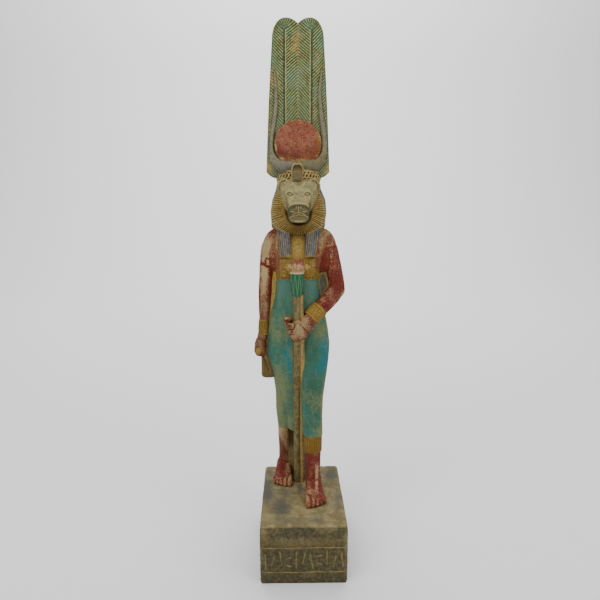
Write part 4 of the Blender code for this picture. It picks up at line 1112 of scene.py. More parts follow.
class Recipe:
    # one surface, built up from stone to dust

    def __init__(self, name, roughness):
        self.material, self.tree, self.shader = newTree(name)
        self.place = self.tree.nodes.new("ShaderNodeTexCoord").outputs["Object"]
        self.noises = {}
        self.shader.inputs["Roughness"].default_value = roughness
        self.shader.inputs["Specular IOR Level"].default_value = 0.25
        self.colour = None

    def feed(self, socket, value):
        # a value is another node's output, a number or the name of a colour
        if isinstance(value, str):
            value = colours[value]
        if hasattr(value, "is_output"):
            self.tree.links.new(value, socket)
        else:
            socket.default_value = value

    def math(self, operation, a, b=0.0, clamp=False):
        node = self.tree.nodes.new("ShaderNodeMath")
        node.operation = operation
        node.use_clamp = clamp
        self.feed(node.inputs[0], a)
        self.feed(node.inputs[1], b)
        return node.outputs[0]

    def plus(self, a, b):
        return self.math("ADD", a, b)

    def minus(self, a, b):
        return self.math("SUBTRACT", a, b)

    def times(self, a, b, clamp=False):
        return self.math("MULTIPLY", a, b, clamp)

    def noise(self, size, detail=3.0, rough=0.6, stretch=(1, 1, 1), seed=0.0):
        # size is the distance between blots in millimetres
        key = (size, detail, rough, stretch, seed)
        if key not in self.noises:
            mapping = self.tree.nodes.new("ShaderNodeMapping")
            mapping.inputs["Location"].default_value = (seed, seed * 0.7, seed * 1.3)
            mapping.inputs["Scale"].default_value = stretch
            self.tree.links.new(self.place, mapping.inputs["Vector"])
            node = self.tree.nodes.new("ShaderNodeTexNoise")
            node.inputs["Scale"].default_value = 1000.0 / size
            node.inputs["Detail"].default_value = detail
            node.inputs["Roughness"].default_value = rough
            self.tree.links.new(mapping.outputs["Vector"], node.inputs["Vector"])
            self.noises[key] = node.outputs["Fac"]
        return self.noises[key]

    def mark(self, name):
        node = self.tree.nodes.new("ShaderNodeAttribute")
        node.attribute_name = name
        return node.outputs["Fac"]

    def step(self, value, low, high):
        node = self.tree.nodes.new("ShaderNodeMapRange")
        node.interpolation_type = "SMOOTHSTEP"
        node.inputs["From Min"].default_value = low
        node.inputs["From Max"].default_value = high
        self.feed(node.inputs["Value"], value)
        return node.outputs["Result"]

    def mix(self, share, a, b):
        node = self.tree.nodes.new("ShaderNodeMix")
        node.data_type = "RGBA"
        self.feed(node.inputs["Factor"], share)
        self.feed(node.inputs[6], a)
        self.feed(node.inputs[7], b)
        return node.outputs[2]

    def blend(self, first, second, size=4.0, low=0.35, high=0.65, detail=5.0, stretch=(1, 1, 1), seed=0.0):
        # two shades of one finish, in soft blots
        return self.mix(self.step(self.noise(size, detail, 0.65, stretch, seed), low, high), first, second)

    def lay(self, colour, cover):
        self.colour = colour if self.colour is None else self.mix(cover, self.colour, colour)

    def grains(self, size, detail, rough, seed, low, high, stretch=(1, 1, 1)):
        # blots of noise whose rims run from low to high
        return self.step(self.noise(size, detail, rough, stretch, seed), low, high)

    def layMark(self, colour, mark, amount, clamp=False):
        self.lay(colour, self.times(self.mark(mark), amount, clamp))

    def laySpecks(self, colour, amount, *grain):
        # grain is (size, detail, roughness, seed, low, high) as in grains, here and in speckle
        self.lay(colour, self.times(self.grains(*grain), amount))

    def toward(self, base, colour, mark, amount, clamp=False):
        # the base turned towards a colour where the mark is
        return self.mix(self.times(self.mark(mark), amount, clamp), base, colour)

    def speckle(self, base, colour, amount, *grain):
        return self.mix(self.times(self.grains(*grain), amount), base, colour)

    def coverage(self, mask=None, wear=0.0, wearMark=None, ragged=0.0, soft=0.25, keep=0.35, rub=0.5, size=1.1,
                 stretch=(1, 1, 1), seed=0.0, edge=0.28):
        # how much of a paint is left: inside its mask, less on ridges and where worn, more in creases
        spots = self.plus(self.times(self.noise(size, 5.0, 0.75, stretch, seed), 0.74),
                          self.times(self.noise(size * 4.0, 3.0, 0.6, stretch, seed + 3.1), 0.26))
        spots = self.step(spots, 0.30, 0.70)
        loss = wear
        if wearMark:
            loss = self.plus(self.mark(wearMark), wear)
        loss = self.plus(loss, self.times(self.mark("ridge"), rub))
        loss = self.minus(loss, self.times(self.mark("hollow"), keep))
        left = self.step(self.minus(spots, loss), -edge, edge)
        if mask:
            inside = self.mark(mask)
            if ragged:
                shift = self.times(self.minus(self.noise(2.6, 4.0, 0.65, (1, 1, 1), 8.0), 0.5), ragged * 2)
                inside = self.plus(inside, shift)
            left = self.times(left, self.step(inside, -soft, soft))
        return left

    def dust(self, colour, amount=0.8, contact=0.9, size=3.0, near=0.45):
        # ochre dirt that settled in the creases and where two forms meet; laid in the dark soil colour, only where
        # forms meet, it is painted shade
        gather = self.plus(self.times(self.mark("hollow"), amount),
                           self.times(self.step(self.mark("contact"), near, 1.0), contact))
        gather = self.times(gather, self.step(self.noise(size, 4.0, 0.6, (1, 1, 1), 5.0), 0.25, 0.6), True)
        self.lay(colour, gather)

    def finish(self, bumpSize=0.7, bump=0.35, depth=0.00022):
        self.tree.links.new(self.colour, self.shader.inputs["Base Color"])
        height = self.plus(self.times(self.noise(bumpSize, 5.0, 0.7), 0.6),
                           self.times(self.noise(3.4, 4.0, 0.6), 0.8))
        node = self.tree.nodes.new("ShaderNodeBump")
        node.inputs["Strength"].default_value = bump
        node.inputs["Distance"].default_value = depth
        self.tree.links.new(height, node.inputs["Height"])
        self.tree.links.new(node.outputs["Normal"], self.shader.inputs["Normal"])
        return self.material


colours = {
    "stoneDark": tint(50, 46, 30), "stoneGrey": tint(80, 76, 56), "stoneKhaki": tint(114, 100, 60),
    "stonePale": tint(150, 136, 94), "cream": tint(186, 164, 120), "pink": tint(150, 102, 76),
    "ochre": tint(126, 94, 24), "ochreDark": tint(76, 54, 10), "ochrePale": tint(164, 138, 70),
    # the near-black soil colour serves for dark lines, specks and dirt, and also as painted shade: in the recess
    # between the legs, on the top of the cobra's hood, under the chest bars and where pieces meet
    "dust": tint(118, 92, 38), "soilAndShade": tint(38, 28, 8),
    "red": tint(98, 26, 14), "redDark": tint(70, 14, 8), "redPale": tint(134, 80, 58),
    "teal": tint(38, 98, 84), "tealDeep": tint(20, 82, 74), "tealVivid": tint(4, 98, 106),
    "tealDusty": tint(104, 112, 70),
    "green": tint(16, 86, 60), "greenDeep": tint(8, 58, 42), "greenPale": tint(96, 132, 92),
    "feather": tint(56, 90, 56), "featherBlue": tint(56, 100, 80), "featherDark": tint(34, 58, 30),
    "quill": tint(184, 174, 116),
    "shaft": tint(78, 76, 58), "horn": tint(120, 115, 96), "hornKhaki": tint(108, 98, 60),
    "disc": tint(116, 52, 36), "discPale": tint(152, 106, 78), "discDark": tint(82, 26, 14),
    "wigGrey": tint(82, 86, 86), "wigBlue": tint(38, 50, 88), "wigPale": tint(144, 136, 96),
    "slate": tint(72, 74, 74), "shadow": tint(76, 66, 38), "lineCream": tint(192, 176, 104),
    "face": tint(110, 106, 74), "facePale": tint(150, 142, 100), "muzzle": tint(60, 58, 38),
    "olive": tint(104, 106, 66), "goldDeep": tint(104, 76, 14), "featherGrey": tint(88, 106, 84),
    "bone": tint(168, 145, 102), "tealLight": tint(98, 122, 104), "grime": tint(96, 72, 50),
    "tealMoss": tint(38, 76, 58),
}


def stoneBase(recipe, first="stoneGrey", second="stoneKhaki", size=9.0, seed=0.0):
    recipe.lay(recipe.blend(first, second, size, 0.38, 0.62, 6.0, (1, 1, 1), seed), 1.0)
    recipe.laySpecks("stonePale", 0.45, 0.9, 3.0, 0.75, 2.0, 0.54, 0.74)
    recipe.laySpecks("stoneDark", 0.45, 1.3, 3.0, 0.7, 6.0, 0.56, 0.74)


def dressMaterial():
    recipe = Recipe("dressPaint", 0.72)
    recipe.lay(recipe.blend("olive", "tealDusty", 1.2, 0.35, 0.65), 1.0)
    recipe.laySpecks("stonePale", 0.45, 0.9, 3.0, 0.75, 2.0, 0.56, 0.74)
    skin = recipe.blend("pink", "cream", 3.0)
    recipe.lay(skin, recipe.coverage("skin", 0.12, None, 0.5, 0.3))
    red = recipe.blend("red", "redPale", 1.2)
    recipe.lay(red, recipe.coverage("skin", 0.0, "skinWear", 0.5, 0.3))
    gold = recipe.blend("goldDeep", "ochrePale", 1.6, 0.46, 0.80)
    recipe.lay(recipe.blend("cream", "ochrePale", 2.0), recipe.coverage("gold", -0.2, None, 0.25, 0.2))
    paleGold = recipe.blend("ochrePale", "dust", 1.2, 0.36, 0.70)
    gold = recipe.toward(gold, paleGold, "paleGold", 0.85, True)
    recipe.lay(gold, recipe.coverage("gold", 0.04, "goldWear", 0.25, 0.2, rub=0.25))
    # painted shadow lines just under the raised chest bars
    recipe.layMark("soilAndShade", "barShadowLine", 0.85, True)
    teal = recipe.blend("teal", "tealDeep", 5.0, 0.35, 0.65, 6.0, (1, 1, 0.5))
    teal = recipe.speckle(teal, "tealDusty", 0.36, 0.85, 4.0, 0.75, 4.0, 0.44, 0.66)
    teal = recipe.mix(recipe.times(recipe.step(recipe.mark("vivid"), -0.9, 0.9), 0.85), teal, "tealVivid")
    teal = recipe.toward(teal, "tealMoss", "mossy", 0.8, True)
    teal = recipe.toward(teal, "tealLight", "high", 0.30)
    recipe.lay(teal, recipe.coverage("teal", 0.04, "tealWear", 0.4, 0.22, 0.1, 0.35, 1.0, (1, 1, 0.7), 1.0, 0.42))
    recipe.dust("dust", 0.15, 0.9, 3.0, 0.7)
    return recipe.finish()


def skinMaterial():
    recipe = Recipe("redSkinPaint", 0.7)
    stoneBase(recipe, "stoneKhaki", "stonePale", 5.0)
    pale = recipe.blend("bone", "stonePale", 4.0, 0.36, 0.66, 4.0, (1, 1, 0.4))
    recipe.lay(pale, recipe.coverage(None, 0.02))
    pink = recipe.blend("pink", "bone", 1.4, 0.40, 0.68)
    recipe.lay(pink, recipe.coverage(None, -0.15, "skinWear", 0, 0.3, 0.3, 0.3, 1.2, (1, 1, 0.6), 2.0, 0.40))
    red = recipe.blend("red", "redDark", 3.0, 0.4, 0.75)
    red = recipe.speckle(red, "redPale", 0.46, 0.8, 4.0, 0.75, 9.0, 0.50, 0.70)
    recipe.lay(red, recipe.coverage(None, 0.02, "skinWear", 0, 0.3, 0.6, 0.35, 1.0, (1, 1, 0.6), 1.0, 0.36))
    crisp = recipe.plus(recipe.mark("redSpots"), recipe.times(recipe.noise(2.0, 3.0, 0.6, (1, 1, 1), 19.0), 2.2))
    recipe.lay("red", recipe.step(crisp, 1.62, 1.74))
    grime = recipe.times(recipe.mark("grime"), recipe.grains(1.2, 4.0, 0.7, 17.0, 0.30, 0.66, (1, 1, 0.6)), True)
    recipe.lay(recipe.blend("grime", "shadow", 3.0), recipe.times(grime, 0.8))
    recipe.dust("dust", 0.25, 0.8, 3.0, 0.6)
    return recipe.finish()


def goldMaterial(name, first, second):
    recipe = Recipe(name, 0.68)
    stoneBase(recipe, "stoneKhaki", "ochrePale", 5.0)
    recipe.lay(recipe.blend(first, second, 1.4, 0.44, 0.74), recipe.coverage(None, 0.03, rub=0.2))
    recipe.layMark("ochreDark", "hollow", 0.9, True)
    # painted shade in the dark soil colour where the bands, the rod and the cloth meet the pieces around them
    recipe.dust("soilAndShade", 0.0, 0.6, 3.0, 0.6)
    return recipe.finish()


def fillMaterial():
    recipe = Recipe("fillStone", 0.85)
    grey = recipe.blend("stoneGrey", "wigGrey", 3.0)
    recipe.lay(recipe.mix(recipe.grains(1.4, 4.0, 0.7, 4.0, 0.5, 0.7), grey, "stoneDark"), 1.0)
    recipe.lay(recipe.blend("ochre", "ochrePale", 3.0), recipe.coverage("gold", 0.10, None, 1.0, 0.6))
    recipe.lay("dust", recipe.times(recipe.mark("settled"), recipe.step(recipe.noise(2.4), 0.3, 0.6), True))
    recipe.dust("ochrePale", 0.5, 0.95, 2.4, 0.25)
    # painted shade in the recess between the legs
    recipe.layMark("soilAndShade", "shade", 0.8)
    return recipe.finish(1.0, 0.6, 0.0004)


def staffMaterial():
    recipe = Recipe("staffPaint", 0.72)
    stoneBase(recipe, "stoneKhaki", "shadow", 3.0)
    recipe.laySpecks("stonePale", 0.22, 1.3, 4.0, 0.7, 8.0, 0.50, 0.66, (1, 1, 0.15))
    recipe.laySpecks("stoneDark", 0.50, 1.5, 4.0, 0.7, 18.0, 0.50, 0.68, (1, 1, 0.15))
    recipe.lay(recipe.blend("wigGrey", "stonePale", 2.6, 0.35, 0.7, 5.0, (1, 1, 0.3)),
               recipe.times(recipe.step(recipe.mark("along"), 0.62, 0.85), 0.22))
    recipe.lay(recipe.blend("ochre", "ochrePale", 2.0), recipe.coverage("goldLine", 0.12, None, 0.8, 0.4))
    green = recipe.blend("green", "greenDeep", 2.4, 0.4, 0.75)
    recipe.lay(green, recipe.coverage("flower", 0.04, None, 0.5, 0.3, rub=0.2))
    recipe.layMark("greenPale", "leafLine", 0.75)
    recipe.lay("cream", recipe.coverage("rim", 0.05, None, 0.3, 0.25, rub=0.0))
    recipe.dust("dust", 0.3, 0.8)
    return recipe.finish()


def headMaterial():
    recipe = Recipe("headStone", 0.78)
    recipe.lay(recipe.blend("face", "facePale", 2.4, 0.32, 0.64, 6.0), 1.0)
    recipe.laySpecks("stoneGrey", 0.6, 5.0, 5.0, 0.7, 3.0, 0.50, 0.70)
    recipe.laySpecks("ochrePale", 0.34, 0.9, 3.0, 0.75, 2.0, 0.50, 0.68)
    recipe.laySpecks("stoneGrey", 0.36, 1.2, 3.0, 0.75, 12.0, 0.54, 0.70)
    recipe.lay("shadow", recipe.coverage("cheek", 0.15, None, 1.0, 1.4, rub=0.3))
    recipe.layMark("facePale", "ridge", 0.45, True)
    recipe.lay(recipe.blend("muzzle", "stoneGrey", 1.6), recipe.times(recipe.mark("muzzle"), 0.96))
    recipe.layMark("stoneDark", "darkLine", 0.85, True)
    recipe.layMark("ochrePale", "hollow", 0.25, True)
    recipe.lay(recipe.blend("lineCream", "ochrePale", 1.4), recipe.times(recipe.mark("paleLine"), 0.72, True))
    recipe.layMark("soilAndShade", "eyeRim", 1.1, True)
    recipe.dust("dust", 0.0, 0.8, 3.0, 0.7)
    return recipe.finish(0.8, 0.4, 0.0003)


def maneMaterial():
    recipe = Recipe("manePaint", 0.72)
    recipe.lay(recipe.blend("ochre", "ochrePale", 2.4, 0.32, 0.62, 5.0), 1.0)
    pale = recipe.step(recipe.mark("outward"), 0.55, 0.96)
    pale = recipe.times(pale, recipe.grains(1.4, 4.0, 0.7, 3.0, 0.34, 0.62))
    recipe.lay("lineCream", recipe.times(pale, 0.6))
    # painted shade on the inner band of the mane, next to the face
    dark = recipe.times(recipe.step(recipe.mark("outward"), 0.50, 0.10), recipe.grains(2.2, 4.0, 0.7, 6.0, 0.1, 0.5))
    recipe.lay(recipe.blend("shadow", "ochreDark", 4.0), recipe.times(dark, 0.80))
    recipe.lay(recipe.blend("ochreDark", "soilAndShade", 2.0), recipe.times(recipe.mark("groove"), 1.15, True))
    recipe.lay("soilAndShade", recipe.times(recipe.mark("fringe"), recipe.step(recipe.mark("groove"), 0.2, 0.7)))
    recipe.layMark("ochreDark", "chinShade", 0.75, True)
    return recipe.finish()


def wigMaterial():
    recipe = Recipe("wigPaint", 0.74)
    stoneBase(recipe, "stoneGrey", "stoneKhaki", 5.0)
    blue = recipe.blend("wigGrey", "wigBlue", 2.0, 0.36, 0.60, 5.0, (1, 1, 0.4))
    blue = recipe.toward(blue, "wigBlue", "deepBlue", 0.9, True)
    recipe.lay(blue, recipe.coverage(None, 0.10, "blueWear"))
    pale = recipe.times(recipe.step(recipe.mark("groove"), 0.50, 0.05),
        recipe.grains(1.8, 4.0, 0.7, 7.0, 0.44, 0.60, (1, 1, 0.35)))
    broken = recipe.grains(2.6, 4.0, 0.7, 27.0, 0.40, 0.60, (1, 1, 0.4))
    recipe.lay("wigBlue", recipe.times(recipe.step(recipe.mark("groove"), 0.25, 0.9), broken))
    recipe.lay("wigPale", recipe.times(pale, 0.90))
    recipe.lay(recipe.blend("teal", "stoneGrey", 3.0), recipe.coverage("tealEdge", 0.1, None, 1.0, 0.6))
    recipe.lay(recipe.blend("ochre", "ochreDark", 2.0), recipe.coverage("gold", 0.06, None, 0.3, 0.25))
    recipe.dust("ochrePale", 0.4, 0.8)
    return recipe.finish()


def discMaterial():
    recipe = Recipe("discPaint", 0.78)
    recipe.lay(recipe.blend("ochrePale", "cream", 2.0, 0.45, 0.7), 1.0)
    red = recipe.blend("disc", "discDark", 3.0, 0.45, 0.75)
    red = recipe.speckle(red, "discPale", 0.75, 1.0, 3.0, 0.75, 4.0, 0.47, 0.62)
    red = recipe.speckle(red, "discDark", 0.6, 1.2, 3.0, 0.7, 24.0, 0.54, 0.66)
    red = recipe.speckle(red, "discPale", 0.40, 7.0, 4.0, 0.6, 14.0, 0.42, 0.62)
    red = recipe.toward(red, "discDark", "lower", 0.72)
    khaki = recipe.times(recipe.mark("khaki"), recipe.grains(1.6, 4.0, 0.7, 2.0, 0.34, 0.56), True)
    red = recipe.mix(recipe.times(khaki, 0.75), red, "ochre")
    recipe.lay(red, recipe.coverage("inside", 0.0, "rimWear", 0.5, 0.35, rub=0.05, edge=0.4))
    recipe.dust("ochrePale", 0.1, 0.4, 6.0, 0.8)
    return recipe.finish(0.7, 0.6, 0.0004)


def hornMaterial():
    recipe = Recipe("hornStone", 0.75)
    body = recipe.mix(recipe.times(recipe.mark("khaki"), 0.85, True), "horn", "hornKhaki")
    body = recipe.toward(body, "slate", "low", 0.6, True)
    recipe.lay(recipe.mix(recipe.grains(3.0, 5.0, 0.7, 1.0, 0.46, 0.70), body, "stoneGrey"), 1.0)
    recipe.laySpecks("stonePale", 0.35, 0.9, 4.0, 0.7, 3.0, 0.52, 0.70)
    recipe.laySpecks("soilAndShade", 0.35, 4.0, 4.0, 0.7, 9.0, 0.56, 0.72)
    # where the horns meet the disc and the cap: an ochre rim, mixed with painted shade in the dark soil colour
    recipe.lay(recipe.blend("ochrePale", "soilAndShade", 4.0),
               recipe.times(recipe.step(recipe.mark("contact"), 0.80, 1.0), 0.6))
    return recipe.finish()


def capMaterial():
    recipe = Recipe("capPaint", 0.75)
    recipe.lay(recipe.blend("cream", "ochrePale", 2.0), 1.0)
    recipe.laySpecks("stoneKhaki", 0.85, 1.5, 4.0, 0.7, 3.0, 0.42, 0.60)
    recipe.layMark("soilAndShade", "hollow", 2.0, True)
    recipe.dust("dust", 0.2, 0.4)
    return recipe.finish()


def cobraMaterial():
    recipe = Recipe("cobraStone", 0.78)
    recipe.lay(recipe.blend("hornKhaki", "stoneGrey", 1.2, 0.35, 0.7), 1.0)
    # painted shade across the top of the hood, where it leans forward
    recipe.layMark("soilAndShade", "topShade", 0.85, True)
    recipe.laySpecks("stoneKhaki", 0.7, 0.8, 3.0, 0.7, 3.0, 0.50, 0.66)
    recipe.dust("ochre", 0.2, 0.5, 3.0, 0.7)
    return recipe.finish()


def plumeMaterial():
    recipe = Recipe("featherPaint", 0.75)
    stoneBase(recipe, "stoneKhaki", "ochrePale", 5.0)
    green = recipe.blend("feather", "featherDark", 3.0, 0.4, 0.7)
    green = recipe.mix(recipe.grains(16.0, 3.0, 0.6, 4.0, 0.46, 0.66), green, "featherBlue")
    green = recipe.toward(green, "featherGrey", "faded", 0.50)
    recipe.lay(green, recipe.coverage(None, 0.06, "featherWear", 0, 0.3, 0.1, 0.1, 1.0, (1, 1, 1), 2.0, 0.20))
    broken = recipe.grains(1.5, 4.0, 0.7, 11.0, 0.26, 0.52)
    line = recipe.times(recipe.step(recipe.mark("barb"), 0.30, 0.80), broken)
    line = recipe.times(line, recipe.minus(1.0, recipe.times(recipe.mark("faded"), 0.30)))
    recipe.lay(recipe.blend("quill", "ochrePale", 3.0), line)
    recipe.lay(recipe.blend("shaft", "stoneDark", 3.0), recipe.step(recipe.mark("shaft"), 0.3, 0.8))
    recipe.lay("quill", recipe.times(recipe.step(recipe.mark("shaftEdge"), 0.3, 0.9), 0.75))
    recipe.lay("ochrePale", recipe.times(recipe.step(recipe.mark("midLine"), 0.3, 0.8), 0.7))
    recipe.lay("featherBlue", recipe.coverage("outerEdge", 0.45, None, 0.4, 0.4))
    # painted shade in the dark soil colour where the plumes meet the disc, the horns, the cap and the pillar
    recipe.dust("soilAndShade", 0.0, 0.8, 3.0, 0.72)
    return recipe.finish()


def plinthMaterial():
    recipe = Recipe("plinthStone", 0.85)
    recipe.lay(recipe.blend("stoneDark", "stoneGrey", 3.0, 0.40, 0.72, 6.0), 1.0)
    top = recipe.blend("stonePale", "stoneKhaki", 7.0, 0.36, 0.62, 6.0)
    recipe.lay(top, recipe.coverage("khaki", -0.1, None, 1.6, 1.6, rub=0.0, keep=0.0, size=1.0, edge=0.5))
    blueGrey = recipe.blend("stoneGrey", "slate", 3.0)
    recipe.lay(blueGrey, recipe.coverage("grey", -0.05, None, 1.8, 1.8, rub=0.0, keep=0.0, size=1.0, edge=0.5))
    stain = recipe.times(recipe.mark("stain"), recipe.grains(2.6, 5.0, 0.7, 12.0, 0.30, 0.66, (1, 1, 2)), True)
    recipe.lay(recipe.blend("dust", "stoneKhaki", 2.0), recipe.times(stain, 0.75))
    recipe.laySpecks("stoneKhaki", 0.5, 0.8, 3.0, 0.75, 2.0, 0.50, 0.72)
    recipe.laySpecks("stoneDark", 0.4, 1.0, 3.0, 0.7, 6.0, 0.52, 0.74)
    broken = recipe.grains(1.8, 4.0, 0.7, 21.0, 0.28, 0.52)
    recipe.lay("ochrePale", recipe.times(recipe.times(recipe.mark("groove"), 0.72, True), broken))
    recipe.dust("ochrePale", 0.1, 0.8, 3.0, 0.6)
    return recipe.finish(1.1, 0.6, 0.0005)


def pillarMaterial():
    recipe = Recipe("pillarStone", 0.85)
    stoneBase(recipe, "stoneGrey", "stoneKhaki", 12.0)
    recipe.layMark("stonePale", "ridge", 0.5, True)
    recipe.dust("dust", 0.5, 0.8)
    # painted shade on the pillar's front, in the recess between the legs
    recipe.layMark("soilAndShade", "shade", 0.75)
    return recipe.finish(1.1, 0.6, 0.0005)


# soft ovals in the photograph's frame, each (x, y, half width, half height, amount)
ovals = {
    "goldWear": [(298, 246, 5, 9, 0.10), (297, 268, 9, 4.5, 1.0), (284, 277, 5, 3, 0.15)],
    "paleGold": [(298, 246, 8, 12, 1.2)],
    # the bar lines are painted shadow under the raised chest bars
    "barShadowLine": [(285, 258.6, 7, 0.9, 1.2), (311, 258.2, 7, 0.9, 1.2), (285, 268.6, 6, 0.6, 0.5),
        (311, 268.2, 6, 0.6, 0.5)],
    "chestSkinWear": [(297, 269, 8, 4.6, 1.4), (272, 240, 5, 12, 0.6), (322, 240, 5, 10, 0.4), (298, 246, 8, 7, 0.9)],
    "tealWear": [(286, 326, 9, 14, 0.44), (281, 392, 7, 22, 0.62), (278, 335, 8, 10, 0.25), (292, 318, 10, 5, 0.35),
        (296, 302, 5, 18, 0.20), (277, 414, 5, 18, 0.45), (322, 330, 5, 12, 0.55), (314, 328, 7, 9, 0.48),
        (318, 402, 9, 10, 0.36), (312, 345, 6, 8, 0.14), (320, 432, 8, 8, 0.28), (288, 422, 7, 7, 0.60),
        (296, 380, 9, 50, 0.20), (276, 372, 6, 10, 0.35), (272, 322, 4, 14, 0.25), (280, 300, 3, 12, 0.12),
        (311, 300, 3, 5, 0.2)],
    "hipKept": [(327, 353, 6, 18, 1.4)],
    "tealKept": [(316, 372, 9, 30, 0.16), (314, 352, 8, 10, 0.10)],
    "vivid": [(325.8, 350, 3.0, 14, 5.0), (321, 366, 3.0, 6, 3.0), (317, 374, 3.0, 7, 1.8),
        (288.6, 357, 3.0, 14, 2.6), (268.5, 356, 3.0, 10, 1.7), (320, 347, 2.5, 5, 1.8), (283, 352, 3, 5, 1.5),
        (290.5, 371, 2.0, 8, 2.2), (317, 421, 1.8, 2.8, 2.4), (307, 381, 3.5, 5, 1.8), (306, 412, 3.0, 9, 1.4),
        (284, 290, 6, 9, 1.3), (313, 292, 6, 8, 1.3), (308, 432, 5, 6, 1.6), (287, 341, 3, 5, 1.2)],
    "mossy": [(313, 385, 9, 16, 1.0), (313, 405, 8, 12, 0.9), (312, 425, 9, 10, 0.7), (306, 355, 4, 16, 0.7),
        (314, 356, 7, 12, 0.6), (282, 345, 9, 10, 0.4), (314, 345, 6, 8, 0.5), (290, 400, 5, 30, 0.5),
        (300, 345, 12, 6, 0.4)],
    "hangingArmWear": [(267, 246, 6.5, 11, 0.80), (265, 263, 3.0, 10, 0.75), (263.5, 286, 3.5, 9, 0.70),
        (265, 276, 3.5, 7, 0.66), (263, 303, 4, 10, 0.26), (266, 312, 3, 10, 0.22), (261, 341, 4, 5, 0.20),
        (260, 349, 3, 4, 0.25)],
    "hangingArmWearMore": [(266, 262, 7, 9, 0.5)],
    "hangingArmKept": [(258.5, 296, 1.5, 10, 0.6), (271, 300, 2.0, 14, 0.6), (270, 230, 4, 3, 0.6),
        (261, 236, 1.5, 6, 0.3)],
    "hangingArmSpots": [(260.0, 258, 2.0, 5.0, 1.0), (262.4, 264.0, 2.4, 2.4, 0.9), (268.0, 258.4, 2.8, 1.5, 0.9),
        (271, 262, 1.7, 5.6, 1.0), (268.0, 267, 2.8, 2.2, 0.9), (271.6, 272, 1.8, 5.5, 1.0),
        (265.6, 262.4, 1.2, 4.0, 0.8), (258.8, 292, 1.0, 9, 0.7), (269.0, 274, 1.8, 3.6, 0.8),
        (259.6, 268, 1.2, 4, 0.5)],
    "hangingArmGrime": [(264, 306, 6, 12, 1.2), (260, 343, 8, 12, 1.2), (266, 250, 4, 10, 0.35),
        (264, 326, 5, 6, 0.5), (263, 284, 3, 8, 0.25)],
    "bentArmWear": [(322, 241, 6, 9, 0.48), (331, 250, 3.5, 12, 0.28), (298, 329, 8, 10, 0.56),
        (333, 290, 6, 6, 0.14), (306, 320, 4, 6, 0.40), (326, 232, 6, 4, 0.35), (286.5, 318, 4, 1.2, 0.7),
        (291, 323.4, 3, 1.2, 0.7), (343, 297, 1.8, 5, 0.75), (337, 305.5, 4, 1.8, 0.6), (318, 252, 2, 6, 0.3),
        (322, 300, 4, 5, 0.14), (330, 268, 2, 10, 0.12)],
    "bentArmKept": [(325, 262, 3, 9, 0.5), (338, 284, 4, 9, 0.4), (326, 307, 5, 4, 0.4), (286, 321.5, 3, 1.8, 0.8),
        (290, 326.5, 2.4, 2.2, 0.5), (321, 256, 2.5, 5, 0.4)],
    "bentArmGrime": [(298, 330, 12, 14, 0.75), (306, 322, 5, 6, 0.4), (320, 240, 6, 8, 0.35), (333, 298, 8, 5, 0.2)],
    "advancedLegWear": [(317.5, 470, 1.8, 7, 0.75), (316.5, 482, 1.6, 7, 0.85), (314, 491, 5, 4, 0.55),
        (309, 480, 2.5, 10, 0.28), (311, 500, 9, 7, 0.30), (307, 494, 3, 5, 0.3), (309, 470, 5, 5, 0.12)],
    "advancedLegKept": [(307, 466, 3, 12, 0.25), (320, 476, 1.5, 10, 0.4)],
    "restingLegWear": [(288, 464, 2.6, 8, 0.50), (287, 476, 4, 6, 0.32), (283, 480, 8, 5, 0.20)],
    "restingLegKept": [(282, 462, 2.4, 14, 0.4)],
    "restingLegGrime": [(284, 440, 6, 13, 1.2), (288, 470, 3, 10, 0.3)],
    "blueWear": [(284, 248, 4, 7, 0.35), (313, 238, 5, 6, 0.25)],
    "deepBlue": [(279, 232, 3, 5, 1.4), (286, 237, 4, 3, 0.9), (325.5, 202, 2.2, 4, 1.6), (308, 248, 4, 6, 0.6),
        (305, 236, 2, 3, 1.2), (284, 252, 4, 3, 0.5)],
    "discRimWear": [(275.5, 150, 1.6, 8, 0.8), (280, 159, 4, 1.6, 0.8), (320.5, 134, 1.4, 9, 0.6),
        (318, 156, 3, 2, 0.5), (300, 160, 12, 1.2, 0.5)],
    "discLower": [(282, 153, 7, 6, 1.0), (291, 157, 8, 4, 0.9), (297, 160, 2.2, 5, 1.2), (277, 146, 3, 6, 0.6),
        (312, 153, 10, 6, 0.8)],
    "discKhaki": [(291, 158, 5, 2, 0.6), (306, 157, 6, 3, 0.5), (319, 138, 2.4, 10, 0.8), (320, 148, 2, 8, 0.4),
        (275, 134, 1.6, 6, 0.4)],
    "featherWear": [(275, 76, 4, 10, 0.55), (295, 44, 5, 12, 0.32), (278, 88, 3, 8, 0.35),
        (271, 110, 2.0, 30, 0.30), (326, 118, 2.0, 24, 0.25), (315, 110, 2.5, 24, 0.35), (318, 60, 4, 14, 0.12),
        (302, 66, 3, 10, 0.15), (270, 168, 5, 8, 0.55), (327, 170, 4, 6, 0.45), (271, 140, 2, 16, 0.35),
        (280, 40, 5, 12, 0.16)],
    "plinthKhaki": [(262, 533, 4, 7, 1.5), (300, 541, 34, 3.0, 0.9), (328, 530, 10, 5, 0.9), (346, 535, 2, 14, 1.2),
        (261, 556, 3, 8, 1.0), (346, 558, 2, 12, 0.8), (275, 530, 6, 4, 0.7)],
    "plinthGrey": [(267, 490, 6, 12, 3.4), (281, 508, 9, 9, 3.0), (285, 492, 8, 5, 1.8), (331, 474, 8, 8, 2.6),
        (338, 500, 5, 14, 1.8), (292, 521, 20, 3.0, 1.4), (318, 520, 8, 5, 1.2), (300, 488, 3, 6, 2.2),
        (270, 472, 6, 3, 1.6), (326, 505, 5, 5, 1.0)],
    "plinthFrontStain": [(300, 544.5, 45, 2.0, 0.8), (264, 538, 5, 6, 0.5), (347, 552, 1.5, 20, 0.6),
        (259, 552, 1.5, 22, 0.5), (330, 541, 14, 3, 0.4)],
    "plinthTopStain": [(264, 515, 5, 10, 0.5), (300, 522, 8, 3, 0.4), (318, 490, 6, 5, 0.3)],
}


def frontShare(piece):
    return smooth(-getNormals(piece)[:, 1], -0.25, 0.25)


